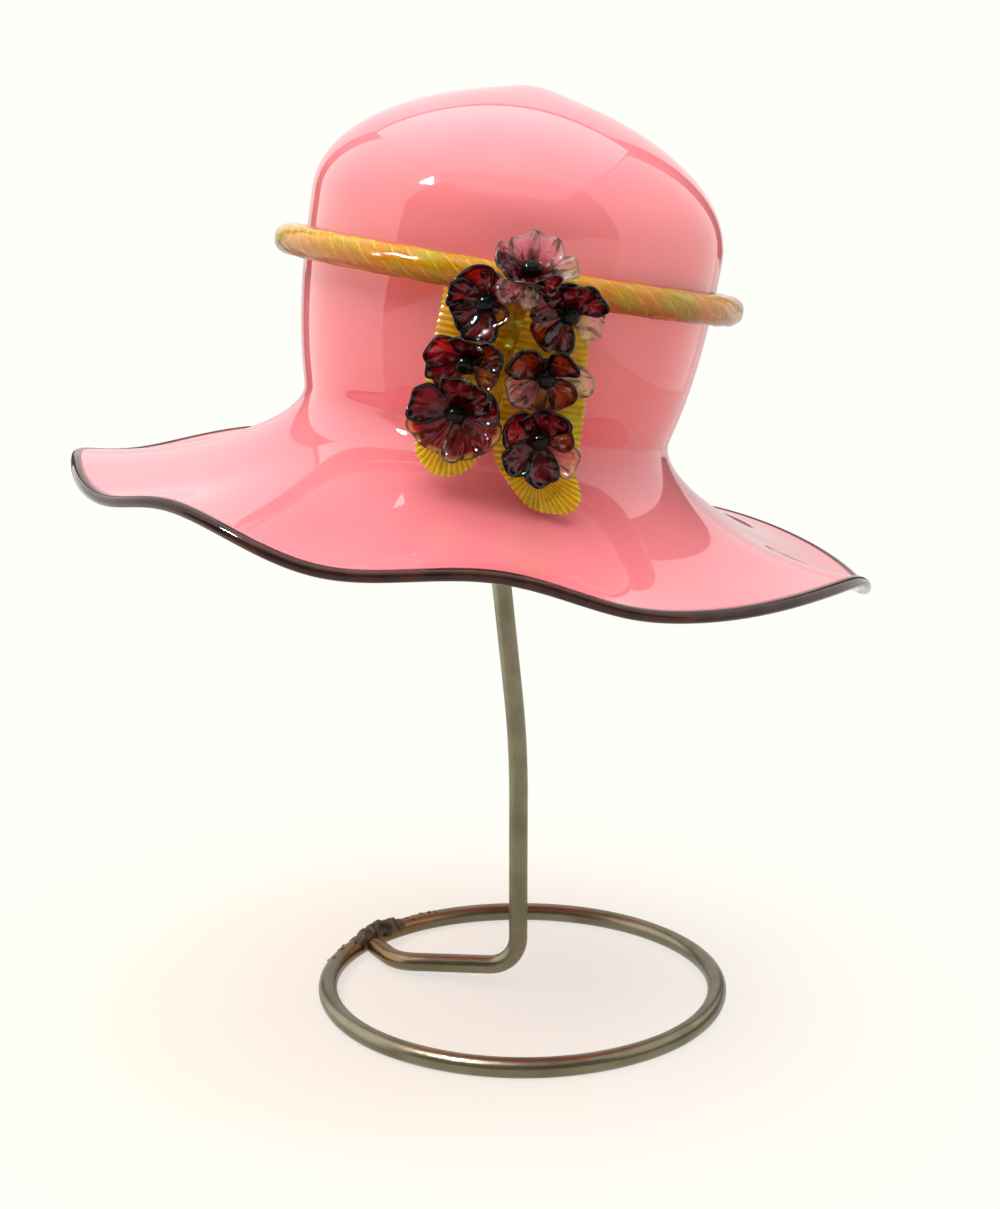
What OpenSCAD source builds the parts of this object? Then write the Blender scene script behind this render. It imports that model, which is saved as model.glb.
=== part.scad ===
// Blown-glass hat with a ruffled brim and a glass corsage, set on a bent steel rod stand.
// Millimetres, +Z up, front towards -Y. The origin is the centre of the base ring, on the floor.

/* [Stand] */
// Diameter of the round steel bar
rod_d = 6.35; // [5.5:0.05:8]
// Radius of the base ring to the middle of its bar
ring_r = 66.1; // [62:0.1:80]
// Depth of the levelling flat under the base ring
ring_flat = 0.25; // [0.15:0.05:0.5]
// Clearance left between the weld metal and the bars it joins
weld_gap = 0.06; // [0.04:0.01:0.1]
// Bend radius of the elbow where the run turns up into the stem
elbow_r = 11; // [9:0.5:14]
// Height of the middle of the run where it meets the elbow
elbow_z = 7.5; // [6:0.5:12]
// Height at which the upright stem starts to lean
lean_z = 86; // [70:1:100]
// Height at which the leaning stem turns upright again, inside the crown
upright_z = 206; // [198:1:215]

/* [Tip cap] */
// Length of the vinyl cap on the stem's tip
cap_len = 20; // [14:1:30]
// Wall of the cap
cap_wall = 1.6; // [1:0.1:2.5]
// Thickness of the cap's closed end
cap_top = 3; // [2:0.5:5]
// Radial running clearance of the cap on the bar
cap_clear = 0.05; // [0.02:0.01:0.1]
// Gap between the cap's end and the glass that rests on it
seat_gap = 0.3; // [0.2:0.05:0.5]
// Distance of the resting spot inside the crown from the hat's axis, to the left
tip_off = 18; // [12:0.5:24]

/* [Hat] */
// Height of the middle of the brim above the floor
brim_z = 164.1; // [150:0.1:190]
// Distance of the hat's middle to the left of the base ring's middle
hat_shift = 17; // [10:0.1:22]
// Distance of the hat's middle in front of the base ring's middle
hat_front = 4; // [0:0.5:8]
// Tilt of the hat, right side down
hat_tilt = 9.3; // [4:0.1:12]
// Thickness of the glass
wall = 2.8; // [2:0.1:3.5]
// Height of the crown above the middle of the brim
crown_h = 134; // [130:0.2:145]
// Height of the low swelling in the middle of the crown's top, and its radius
nub_h = 1.4; // [0.8:0.1:2]
nub_r = 9.9; // [8:0.1:14]
// How far the crown's top is set to the left of its axis
dome_lean = 1.6; // [0:0.1:3]
// Half width of the crown's flatter top
dome_flat = 18.5; // [12:0.5:24]
// Largest radius of the crown
crown_r = 64.7; // [63:0.1:68]
// Height of the crown's largest radius
shoulder_h = 93; // [88:0.5:98]
// Length of the shoulder's pull towards the top
dome_round = 27; // [24:1:34]
// Length of the wall's pull below the shoulder
wall_draw = 43; // [34:1:48]
// Radius of the neck above the brim
neck_r = 58.4; // [56:0.1:60]
// Height of the neck
neck_h = 33; // [30:0.5:36]
// Length of the pull that turns the neck out into the brim
flare_drop = 12; // [9:0.5:15]
// Radius of the brim
brim_r = 127.3; // [118:0.1:140]
// Length of the nearly flat outer part of the brim
brim_flat = 34; // [28:1:42]
// Rise of the brim over that outer part
brim_rise = 4; // [2:0.5:7]
// Largest lift of the brim's ruffles
ruffle_h = 9.2; // [5:0.2:11]
// How far the lip wrap stands past the glass above and below
lip_over = 0.25; // [0.1:0.05:0.6]
// Width of the flat side of the lip wrap before its round
lip_flat = 0.6; // [0.3:0.1:1]

/* [Hatband] */
// Thickness of the twisted cane
band_d = 9.4; // [8:0.1:11]
// Height of the cane ring above the middle of the brim
band_h = 77.7; // [75:0.1:82]
// Number of twisted ridges round the cane
band_ridges = 5; // [4:1:6]
// Depth of the ridges
band_ridge = 0.3; // [0.1:0.05:0.5]
// Number of ridges that wind over the cane's top on its way round
band_turns = 26; // [16:1:32]

/* [Corsage] */
// Bond line between glass pieces that are fixed to each other
bond = 0.15; // [0.08:0.01:0.3]
// Radius of a large flower, which also sets how the flowers are spread
flower_r = 13.5; // [12.5:0.1:14.5]
// Thickness of the petals
petal_t = 2; // [1.6:0.1:2.1]
// Depth of the flowers' cup as a share of their radius
petal_cup = 0.26; // [0.2:0.02:0.3]
// Depth of the notches between petals as a share of the radius
petal_notch = 0.27; // [0.2:0.01:0.45]
// Radius of the stub that carries a flower
stub_r = 1.5; // [1.2:0.1:1.8]
// Radius of a flower's centre bead
bead_r = 2.7; // [2:0.1:3]
// Thickness of the leaves
leaf_t = 3; // [2:0.1:3.2]
// Widths of the left, right and centre leaves
leaf_widths = [19, 23.5, 11]; // [8:0.5:28]
// Heights of the left and right leaves' tips above the brim
leaf_tips = [9, 4.2]; // [3:0.1:12]
// Length of the centre leaf
leaf_short = 34; // [26:1:38]
// Forward lean of the leaves per millimetre of drop
leaf_lean = 0.14; // [0.12:0.01:0.16]
// Depth of the ribs pressed into the leaves
leaf_rib = 0.3; // [0.15:0.05:0.4]
// Number of ribs along a leaf
leaf_ribs = 8; // [6:1:9]
// Radius of the small green buds
bud_r = 1.6; // [1.2:0.1:1.8]

/* [Hidden] */
$fn = 64;

glass_pink = [0.93, 0.55, 0.56];
glass_lip = [0.33, 0.17, 0.15];
glass_amber = [0.66, 0.5, 0.08];
glass_plum = [0.36, 0.06, 0.12];
glass_black = [0.05, 0.04, 0.05];
steel = [0.46, 0.41, 0.33];
vinyl = [0.12, 0.12, 0.12];

rod_r = rod_d/2;
cap_r = rod_r + cap_clear + cap_wall;
cap_round = cap_r*0.65;

// Crests and hollows of the brim: bearing from +X, lift as a share of the largest, growth of the radius
ruffles = [[41, 0.46, 0], [90, -0.33, 0], [124, 0.7, 0], [158, -0.31, 0], [193, 0.4, -0.024], [215, 0.09, 0],
    [231, 0.73, 0.001], [253, -0.04, 0], [274, 0.74, -0.001], [293, 0.11, -0.002], [333, 1, -0.004],
    [356, 0.04, -0.007]];
around = 72;
dome_rows = 8;
wall_rows = 4;
brim_rows = 7;

// Profile of the glass: three curves from the top, down the crown's wall and out along the brim
dome_curve = [[0, crown_h], [dome_flat, crown_h], [crown_r, shoulder_h + dome_round], [crown_r, shoulder_h]];
wall_curve = [[crown_r, shoulder_h], [crown_r, shoulder_h - wall_draw], [neck_r, neck_h + 4],
    [neck_r, neck_h]];
brim_curve = [[neck_r, neck_h], [neck_r, neck_h - flare_drop], [brim_r - brim_flat, brim_rise], [brim_r, 0]];

function unit(v) = v/norm(v);
function bezier(p, t) = (1 - t)^3*p[0] + 3*(1 - t)^2*t*p[1] + 3*(1 - t)*t^2*p[2] + t^3*p[3];
function slope(p, t) = 3*(1 - t)^2*(p[1] - p[0]) + 6*(1 - t)*t*(p[2] - p[1]) + 3*t^2*(p[3] - p[2]);
// A profile row is the outer point followed by the direction out of the glass
function row(p, t) = let (s = unit(slope(p, t))) [bezier(p, t), [-s[1], s[0]]];
function nub(r) = nub_h*exp(-(r/nub_r)^2);
profile = [
    for (i = [1:dome_rows]) let (q = row(dome_curve, i/dome_rows)) [q[0] + [0, nub(q[0][0])], q[1]],
    for (i = [1:wall_rows]) row(wall_curve, i/wall_rows),
    for (i = [1:brim_rows]) row(brim_curve, i/brim_rows)];
crown_rows = dome_rows + wall_rows;
edge_row = profile[len(profile) - 1];

function ease(a, b, t) = a + (b - a)*t*t*(3 - 2*t);
// Column c of the ruffles at bearing f, eased from one to the next
function ruffle(f, c, i = 0) =
    let (n = len(ruffles),
        g = f < ruffles[0][0] ? f + 360 : f,
        a = ruffles[i],
        b = i + 1 < n ? ruffles[i + 1] : ruffles[0] + [360, 0, 0])
    i == n - 1 || g < b[0] ? ease(a[c], b[c], (g - a[0])/(b[0] - a[0])) : ruffle(f, c, i + 1);
// The ruffles grow from nothing at the neck to their full size at the edge
function brim_share(r) = max(0, (r - neck_r)/(brim_r - neck_r));
function lift(r, f) = ruffle_h*ruffle(f, 1)*brim_share(r)^1.6;
function grow(r, f) = 1 + ruffle(f, 2)*brim_share(r)^2;
// The top is set to the left by more and more from the shoulder upwards
function lean(h) = -dome_lean*max(0, h - shoulder_h)/(crown_h - shoulder_h);
// Point on a profile row at bearing f, moved by d out of the glass
function glass_pt(i, f, d) =
    let (q = profile[i][0],
        p = q + d*profile[i][1],
        brim = i >= crown_rows,
        r = p[0]*(brim ? grow(q[0], f) : 1))
    [r*cos(f) + lean(q[1]), r*sin(f), p[1] + (brim ? lift(q[0], f) : 0)];
function glass_ring(i, d) = [for (j = [0:around - 1]) glass_pt(i, j*360/around, d)];
// Height of the brim at radius r, without its ruffles
function brim_at(r) = lookup(r, [for (i = [0:60]) bezier(brim_curve, i/60)]);
// Radius of the crown's wall at height h
function crown_at(h) = lookup(h, [for (i = [0:60]) let (p = bezier(wall_curve, i/60)) [p[1], p[0]]]);

// Place of the hat, and the spot inside the crown that rests on the tip
hat_pos = [-hat_shift, -hat_front, brim_z];
function on_floor(p) = hat_pos + [p[0]*cos(hat_tilt) + p[2]*sin(hat_tilt), p[1],
    p[2]*cos(hat_tilt) - p[0]*sin(hat_tilt)];
inside_left = [for (i = [0:dome_rows - 1]) on_floor(glass_pt(i, 180, -wall))];
function inside_z(x) = lookup(x, [for (p = inside_left) [p[0], p[2]]]);
tip_x = on_floor([-tip_off, 0, crown_h - wall])[0];
tip_flat = cap_r - cap_round;
tip = [tip_x, -hat_front, min([for (d = [-tip_flat, 0, tip_flat]) inside_z(tip_x + d)]) - seat_gap];

// Route of the bar from its end at the base ring to the tip
stem_x = -1.3;
stem_y = 3;
end_turn = 149;
end_r = ring_r - rod_d*0.79;
run_end = [end_r*cos(end_turn), end_r*sin(end_turn), rod_r + 0.2];
run_bend = [-0.66*ring_r, 0.225*ring_r, rod_r + 0.9];
stem_end = tip - [0, 0, cap_top + 0.2];
stem_pts = [run_end, run_bend, [stem_x, stem_y, elbow_z], [stem_x, stem_y, lean_z],
    [tip[0], tip[1], upright_z], stem_end];
stem_bends = [0, 16, elbow_r, 300, 90, 0];

// Ring of the hatband, just clear of the crown
band_r = crown_at(band_h) + band_d/2 + bond + 0.15;

// Front faces of the hanging leaves: y = face_y + leaf_lean*z at the hatband's own distance
hang_z = band_h - band_d/2 - bond;
face_y = -(band_r + 2) - leaf_lean*hang_z;
back_y = -(band_r - 1.6);

// Flowers: across, height from the band and distance out from the band's ring, as shares of flower_r,
// turn to the right, turn up, spin, radius as a share, petals, growth to one side, bearing of that side
flowers = [
    [0.36, 0.2, 1.05, -2, 33, 90, 0.95, 5, -0.1, 90],
    [-0.39, -0.5, 0.46, -14, -8, 115, 0.9, 5, -0.1, 0],
    [1.26, -0.45, 0.45, 13, -12, 90, 0.92, 5, -0.1, 270],
    [-0.62, -1.73, 0.76, -14, -18, 90, 0.93, 5, -0.22, 270],
    [-0.64, -2.76, 0.94, -10, -11, 60, 1.04, 6, 0, 0],
    [1, -1.76, 0.64, 3, -17, 54, 0.96, 5, -0.18, 270],
    [1.08, -3.05, 0.76, 3, -7, 90, 0.96, 5, 0, 0]];
function flower_at(f) = [f[0]*flower_r, -band_r - f[2]*flower_r, band_h + f[1]*flower_r];
function facing(turn, up) = [sin(turn)*cos(up), -cos(turn)*cos(up), sin(up)];
// Length of a round-ended stub that runs straight back from c and stops at a leaf's front face
function stub_to_leaf(c, n, r, y0, lean) =
    ((r + bond)*sqrt(1 + lean^2) + c[1] - y0 - lean*c[2])/(n[1] - lean*n[2]);
// The same for a stub that stops at the hatband
function stub_to_band(c, n, r) =
    let (p = [c[1] + sqrt(band_r^2 - c[0]^2), c[2] - band_h],
        q = -unit([n[1], n[2]]),
        reach = band_d/2 + r + bond,
        b = p*q)
    (-b - sqrt(b^2 - p*p + reach^2))/norm([n[1], n[2]]);

// Height just under the hatband at a place beside or below it
function band_under(x, y) = band_h - sqrt(max(0, (band_d/2)^2 - (norm([x, y]) - band_r)^2)) - bond;

// Closed skin over rings of points, from one end point to the other
module skin(first, rings, last) {
    n = len(rings[0]);
    m = len(rings);
    polyhedron(
        points = concat([first], [for (r = rings) each r], [last]),
        faces = [
            for (j = [0:n - 1]) [0, 1 + (j + 1)%n, 1 + j],
            for (i = [0:m - 2], j = [0:n - 1]) each
                let (a = 1 + i*n + j, b = 1 + i*n + (j + 1)%n) [[a, b, b + n], [a, b + n, a + n]],
            for (j = [0:n - 1]) [1 + m*n, 1 + (m - 1)*n + j, 1 + (m - 1)*n + (j + 1)%n]],
        convexity = 10);
}

// Closed loop of rings, the last joined to the first
module loop(rings) {
    n = len(rings[0]);
    m = len(rings);
    polyhedron(
        points = [for (r = rings) each r],
        faces = [for (i = [0:m - 1], j = [0:n - 1]) each
            let (k = (i + 1)%m, l = (j + 1)%n)
            [[i*n + j, k*n + j, k*n + l], [i*n + j, k*n + l, i*n + l]]],
        convexity = 10);
}

// Round bar along points, with a true bend of the given radius at each inner point.
// The straight lengths lap over the bends, which are a hair thinner where the bar was drawn round the former.
module bent_rod(pts, bends, r) {
    n = len(pts);
    lap = 0.4;
    thin = 0.02;
    dirs = [for (i = [0:n - 2]) unit(pts[i + 1] - pts[i])];
    turns = [for (i = [0:n - 1]) i == 0 || i == n - 1 ? 0 : acos(dirs[i - 1]*dirs[i])];
    cuts = [for (i = [0:n - 1]) bends[i]*tan(turns[i]/2)];
    for (i = [0:n - 2]) {
        z = dirs[i];
        a = pts[i] + z*(cuts[i] - (i > 0 ? lap : 0));
        b = pts[i + 1] - z*(cuts[i + 1] - (i < n - 2 ? lap : 0));
        l = norm(b - a);
        x = unit(cross(abs(z[2]) > 0.9 ? [0, 1, 0] : [0, 0, 1], z));
        y = cross(z, x);
        multmatrix([[x[0], y[0], z[0], a[0]], [x[1], y[1], z[1], a[1]], [x[2], y[2], z[2], a[2]]])
            cylinder(h = l, r = r);
    }
    for (i = [1:n - 2]) {
        d = dirs[i - 1];
        inwards = unit(dirs[i] - d*(d*dirs[i]));
        c = pts[i] - d*cuts[i] + inwards*bends[i];
        x = -inwards;
        z = cross(x, d);
        multmatrix([[x[0], d[0], z[0], c[0]], [x[1], d[1], z[1], c[1]], [x[2], d[2], z[2], c[2]]])
            rotate_extrude(angle = turns[i]) translate([bends[i], 0]) circle(r - thin);
    }
}

module ring_bar(r) {
    translate([0, 0, rod_r - ring_flat]) rotate_extrude() translate([ring_r, 0]) circle(r);
}

module on_hat() {
    translate(hat_pos) rotate([0, hat_tilt, 0]) children();
}

module facing_out(c, turn, up) {
    translate(c) rotate([0, 0, turn]) rotate([90 - up, 0, 0]) children();
}

module base_ring() {
    color(steel) difference() {
        ring_bar(rod_r);
        translate([0, 0, -rod_d]) cylinder(h = rod_d, r = ring_r + rod_d);
    }
}

module stem() {
    color(steel) bent_rod(stem_pts, stem_bends, rod_r);
}

// Weld metal in the wedge between the bar's end and the base ring
module weld_bead() {
    // Bearing, then distance from the ring's middle, height and radius as shares of the bar's radius
    blobs = [[151, -0.13, 1.44, 1.04], [146, -0.44, 1.76, 1.32], [140.5, -0.5, 1.66, 1.26],
        [135.5, -0.28, 1.5, 1.01]];
    color(steel) difference() {
        for (b = blobs) rotate(b[0]) translate([ring_r + b[1]*rod_r, 0, b[2]*rod_r]) sphere(b[3]*rod_r);
        ring_bar(rod_r + weld_gap);
        bent_rod(stem_pts, stem_bends, rod_r + weld_gap);
    }
}

module tip_cap() {
    color(vinyl) translate(tip - [0, 0, cap_len]) rotate_extrude() difference() {
        union() {
            square([cap_r, cap_len - cap_round]);
            square([tip_flat, cap_len]);
            translate([tip_flat, cap_len - cap_round]) circle(cap_round);
        }
        translate([-1, -1]) square([rod_r + cap_clear + 1, cap_len - cap_top + 1]);
        translate([-cap_r, 0]) square([cap_r, cap_len]);
    }
}

module hat_shell() {
    rows = len(profile);
    color(glass_pink) on_hat() skin(
        [-dome_lean, 0, crown_h + nub_h],
        [for (i = [0:rows - 1]) glass_ring(i, 0), for (i = [rows - 1:-1:0]) glass_ring(i, -wall)],
        [-dome_lean, 0, crown_h + nub_h - wall]);
}

// Half-round wrap along the brim's edge
module lip_wrap() {
    out = [edge_row[1][1], -edge_row[1][0]];
    mid = edge_row[0] - edge_row[1]*wall/2 + out*bond;
    r = wall/2 + lip_over;
    side = [[0, r], [lip_flat, r],
        for (a = [60:-30:-60]) [lip_flat + r*cos(a), r*sin(a)],
        [lip_flat, -r], [0, -r]];
    color(glass_lip) on_hat() loop([for (j = [0:around - 1])
        let (f = j*360/around, z = lift(brim_r, f), g = grow(brim_r, f))
        [for (s = side) let (p = mid + out*s[0] + edge_row[1]*s[1])
            [g*p[0]*cos(f), g*p[0]*sin(f), p[1] + z]]]);
}

// Ring of twisted cane with soft ridges
module hatband() {
    steps = 100;
    sides = 10;
    color(glass_amber) on_hat() loop([for (i = [0:steps - 1])
        let (f = i*360/steps)
        [for (j = [0:sides - 1])
            let (a = -j*360/sides,
                ridge = cos(band_ridges*a + band_turns*f),
                r = band_d/2 - band_ridge/2*(1 - ridge))
            [(band_r + r*cos(a))*cos(f), (band_r + r*cos(a))*sin(f), band_h + r*sin(a)]]]);
}

// Hanging leaf: across at the top and at the tip, share of its width at the top, share of its length
// at which it starts to round off, bluntness of its tip, width, length and place of its front face
module leaf(x0, x1, start, broad, blunt, w, l, y0, lean, t) {
    rows = 24;
    even = 16;
    share = function (i) i <= even ? broad*i/even : broad + (1 - broad)*sin(90*(i - even)/(rows - even));
    shape = function (s) s <= broad ? start + (1 - start)*sin(90*s/broad)
        : max(0, 1 - ((s - broad)/(1 - broad))^blunt)^(1/blunt);
    top = band_under(x0, y0 + lean*hang_z + t/2);
    mid = function (s) let (z = top - l*s)
        [ease(x0, x1, min(1, max(0, (s - 0.74)/0.24))), y0 + lean*z + t/2, z];
    across = [-1, -0.5, 0, 0.5, 1, 0.5, 0, -0.5];
    side = [0, -1, -1, -1, 0, 1, 1, 1];
    skin(mid(0),
        [for (i = [1:rows - 1]) let (s = share(i), c = mid(s), b = w/2*shape(s))
            [for (k = [0:7]) let (
                u = across[k],
                wave = cos(360*leaf_ribs*(s + 0.1*abs(u))),
                edge = abs(u) == 1 ? 1 + 0.05*wave : 1,
                y = side[k]*(t/2*(1 - 0.5*u^2) - leaf_rib/2*(1 - wave)*(side[k] < 0 ? 1 : 0)))
                c + [b*u*edge, y, 0]]],
        mid(1));
}

module leaf_left() {
    x = flower_r*0.76;
    l = hang_z - leaf_tips[0] - brim_at(norm([x, face_y]));
    color(glass_amber) on_hat()
        leaf(-flower_r*0.72, -x, 0.85, 0.8, 2, leaf_widths[0], l, face_y, leaf_lean, leaf_t);
}

module leaf_right() {
    x = flower_r*1.52;
    l = hang_z - leaf_tips[1] - brim_at(norm([x, face_y]));
    color(glass_amber) on_hat()
        leaf(flower_r*1.07, x, 0.7, 0.62, 3, leaf_widths[1], l, face_y, leaf_lean, leaf_t);
}

// Narrow leaf between the other two, close to the crown
module leaf_centre() {
    x = flower_r*0.2;
    color(glass_amber) on_hat() leaf(x, x, 0.7, 0.62, 2, leaf_widths[2], leaf_short, back_y, 0, leaf_t*0.7);
}

// Scalloped cup of petals on a round-ended stub, facing out of the corsage
module flower(i) {
    f = flowers[i];
    c = flower_at(f);
    n = facing(f[3], f[4]);
    l = i == 0 ? stub_to_band(c, n, stub_r) : stub_to_leaf(c, n, stub_r, face_y, leaf_lean);
    petals = f[7];
    count = petals*7;
    bearings = [for (j = [0:count - 1]) j*360/count];
    size = f[6]*flower_r;
    rim = function (a) size*(1 - petal_notch + petal_notch*abs(cos(petals*(a - f[5])/2))^0.7)
        *(1 + f[8]*cos(a - f[9]));
    cup = function (t, a) size*(petal_cup*t^1.6 + 0.05*t^2*cos(petals*(a - f[5])));
    ring = function (t, grow, z) [for (a = bearings) let (r = rim(a)*t + grow)
        [r*cos(a), r*sin(a), cup(t, a) + z]];
    round = function (r, z) [for (a = bearings) [r*cos(a), r*sin(a), z]];
    facing_out(c, f[3], f[4]) skin(
        [0, 0, 0],
        [ring(0.35, 0, 0), ring(0.7, 0, 0), ring(0.94, 0, 0.05), ring(1, 0, -petal_t*0.2),
            ring(1, 0.02*size, -petal_t*0.55), ring(0.96, 0, -petal_t), ring(0.6, 0, -petal_t),
            round(stub_r + 0.6, -petal_t), round(stub_r, -l), round(stub_r*0.7, -l - stub_r*0.7)],
        [0, 0, -l - stub_r]);
}

module bead(i) {
    f = flowers[i];
    facing_out(flower_at(f), f[3], f[4]) translate([0, 0, bead_r + bond]) sphere(bead_r);
}

// Drop-shaped bud on a thin stalk from the centre leaf, placed in shares of flower_r
module bud(x, down, out, turn, up) {
    n = facing(turn, up);
    c = [x*flower_r, back_y - out*flower_r, band_h - down*flower_r];
    reach = stub_to_leaf(c, n, bud_r*0.5, back_y, 0);
    facing_out(c, turn, up) rotate_extrude() intersection() {
        union() {
            circle(bud_r);
            translate([0, bud_r*1.1]) circle(bud_r*0.75);
            translate([-bud_r*0.5, -reach]) square([bud_r, reach]);
            translate([0, -reach]) circle(bud_r*0.5);
        }
        translate([0, -reach - bud_r]) square([bud_r*2, reach + bud_r*4]);
    }
}

module flower_a() { color(glass_plum) on_hat() flower(0); }
module flower_b() { color(glass_plum) on_hat() flower(1); }
module flower_c() { color(glass_plum) on_hat() flower(2); }
module flower_d() { color(glass_plum) on_hat() flower(3); }
module flower_e() { color(glass_plum) on_hat() flower(4); }
module flower_f() { color(glass_plum) on_hat() flower(5); }
module flower_g() { color(glass_plum) on_hat() flower(6); }
module bead_a() { color(glass_black) on_hat() bead(0); }
module bead_b() { color(glass_black) on_hat() bead(1); }
module bead_c() { color(glass_black) on_hat() bead(2); }
module bead_d() { color(glass_black) on_hat() bead(3); }
module bead_e() { color(glass_black) on_hat() bead(4); }
module bead_f() { color(glass_black) on_hat() bead(5); }
module bead_g() { color(glass_black) on_hat() bead(6); }
module bud_upper() { color(glass_amber) on_hat() bud(0.31, 0.83, 0.6, 10, 0); }
module bud_lower() { color(glass_amber) on_hat() bud(0.15, 1.24, 0.7, 0, -16); }

base_ring();
stem();
weld_bead();
tip_cap();
hat_shell();
lip_wrap();
hatband();
leaf_left();
leaf_right();
leaf_centre();
flower_a();
flower_b();
flower_c();
flower_d();
flower_e();
flower_f();
flower_g();
bead_a();
bead_b();
bead_c();
bead_d();
bead_e();
bead_f();
bead_g();
bud_upper();
bud_lower();
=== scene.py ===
"""Blown-glass hat with a glass corsage on a bent steel stand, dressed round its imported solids."""

import math

import bmesh
import bpy
import numpy as np
from bpy.props import FloatProperty, FloatVectorProperty, IntProperty, PointerProperty
from mathutils import Matrix, Vector, noise

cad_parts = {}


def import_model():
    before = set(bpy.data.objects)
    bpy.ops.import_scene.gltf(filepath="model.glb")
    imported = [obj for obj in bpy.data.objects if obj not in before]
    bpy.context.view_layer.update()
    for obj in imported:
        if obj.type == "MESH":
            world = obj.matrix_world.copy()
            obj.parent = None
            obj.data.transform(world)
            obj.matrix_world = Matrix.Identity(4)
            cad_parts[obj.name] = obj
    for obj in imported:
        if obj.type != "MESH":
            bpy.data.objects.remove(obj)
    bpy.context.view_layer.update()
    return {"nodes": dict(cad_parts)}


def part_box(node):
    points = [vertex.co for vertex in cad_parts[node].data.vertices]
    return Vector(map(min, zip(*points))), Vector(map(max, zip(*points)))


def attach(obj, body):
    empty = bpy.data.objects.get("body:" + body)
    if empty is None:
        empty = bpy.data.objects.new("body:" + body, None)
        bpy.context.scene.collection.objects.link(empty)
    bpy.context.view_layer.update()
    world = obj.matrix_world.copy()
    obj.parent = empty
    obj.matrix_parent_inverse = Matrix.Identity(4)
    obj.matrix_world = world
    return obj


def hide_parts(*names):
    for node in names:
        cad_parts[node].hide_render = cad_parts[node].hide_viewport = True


bl_info = {
    "name": "Glass hat on a steel stand",
    "version": (1, 0, 0),
    "blender": (4, 5, 0),
    "location": "View3D > Sidebar > Glass hat",
    "description": "Builds a pink blown-glass hat, its corsage, its steel stand and a light tent",
    "category": "Object",
}

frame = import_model()

# Size of the picture in pixels
PHOTO_W = 1000
PHOTO_H = 1209


def tone(red, green, blue):
    """Linear colour of a tone written as it looks on screen, from 0 to 255."""
    share = np.array([red, green, blue], float) / 255
    linear = np.where(share <= 0.04045, share / 12.92, ((share + 0.055) / 1.055) ** 2.4)
    return tuple(float(x) for x in linear)


def length(name, description, default, low=0.0):
    """Length in metres that a user may change."""
    return FloatProperty(
        name=name, description=description, default=default, min=low,
        precision=5, unit="LENGTH", subtype="DISTANCE",
    )


def angle(name, description, degrees):
    """Angle that a user may change, with its default in degrees."""
    return FloatProperty(name=name, description=description, default=math.radians(degrees), subtype="ANGLE")


def paint(name, description, red, green, blue):
    """Colour that a user may change, with its default written as it looks on screen."""
    return FloatVectorProperty(
        name=name, description=description, default=tone(red, green, blue),
        min=0.0, max=1.0, size=3, subtype="COLOR",
    )


class StandSizes(bpy.types.PropertyGroup):
    """Sizes of the bent steel stand"""

    rod: length("Bar", "Diameter of the round steel bar", 0.00635)
    ring: length("Ring", "Radius of the base ring to the middle of its bar", 0.0661)
    ring_flat: length("Levelling flat", "Depth of the flat under the base ring", 0.00025)
    elbow: length("Elbow", "Bend radius where the run turns up into the stem", 0.011)
    elbow_z: length("Elbow height", "Height of the run where it meets the elbow", 0.0075)
    lean_z: length("Lean height", "Height at which the stem starts to lean", 0.086)
    upright_z: length("Upright height", "Height at which the stem turns upright again", 0.206)
    stem_x: length("Stem place", "Stem's place across", -0.0013, low=-1.0)
    stem_y: length("Stem depth", "Stem's place behind the ring's middle", 0.003)
    spatter: IntProperty(
        name="Spatter", description="Number of spatter beads beside the weld", default=26, min=0
    )


class HatSizes(bpy.types.PropertyGroup):
    """Sizes of the blown hat"""

    brim_z: length("Brim height", "Height of the middle of the brim above the floor", 0.1641)
    shift: length("Shift", "Distance of the hat's middle to the left of the ring's middle", 0.017)
    front: length("Forward", "Distance of the hat's middle in front of the ring's middle", 0.004)
    tilt: angle("Tilt", "Tilt of the hat, right side down", 9.3)
    wall: length("Wall", "Thickness of the glass", 0.0028)
    crown_h: length("Crown height", "Height of the crown above the middle of the brim", 0.134)
    nub_h: length("Top swelling", "Height of the low swelling in the middle of the crown's top", 0.00105)
    nub_r: length("Swelling radius", "Radius of the swelling in the crown's top", 0.0099)
    dome_lean: length("Top set", "How far the crown's top is set to the left of its axis", 0.0016)
    dome_flat: length("Dome flat", "Half width of the crown's flatter top", 0.0185)
    crown_r: length("Crown radius", "Largest radius of the crown", 0.0647)
    shoulder_h: length("Shoulder", "Height of the crown's largest radius", 0.093)
    dome_round: length("Dome round", "Length of the shoulder's pull towards the top", 0.027)
    wall_draw: length("Wall draw", "Length of the wall's pull below the shoulder", 0.043)
    neck_r: length("Neck radius", "Radius of the neck above the brim", 0.0584)
    neck_h: length("Neck height", "Height of the neck", 0.033)
    neck_draw: length("Neck draw", "Length of the wall's pull above the neck", 0.004)
    flare_drop: length("Flare", "Length of the pull that turns the neck out into the brim", 0.012)
    brim_r: length("Brim radius", "Radius of the brim", 0.1273)
    brim_flat: length("Brim flat", "Length of the nearly flat outer part of the brim", 0.034)
    brim_rise: length("Brim rise", "Rise of the brim over that outer part", 0.004)
    ruffle_h: length("Ruffles", "Largest lift of the brim's ruffles", 0.0092)
    lip_over: length("Lip", "How far the lip wrap stands past the glass", 0.00025)
    lip_flat: length("Lip side", "Width of the lip wrap before its round", 0.0006)
    lip_lap: length("Lip lap", "How far the lip wrap laps over the glass", 0.0008)


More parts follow.
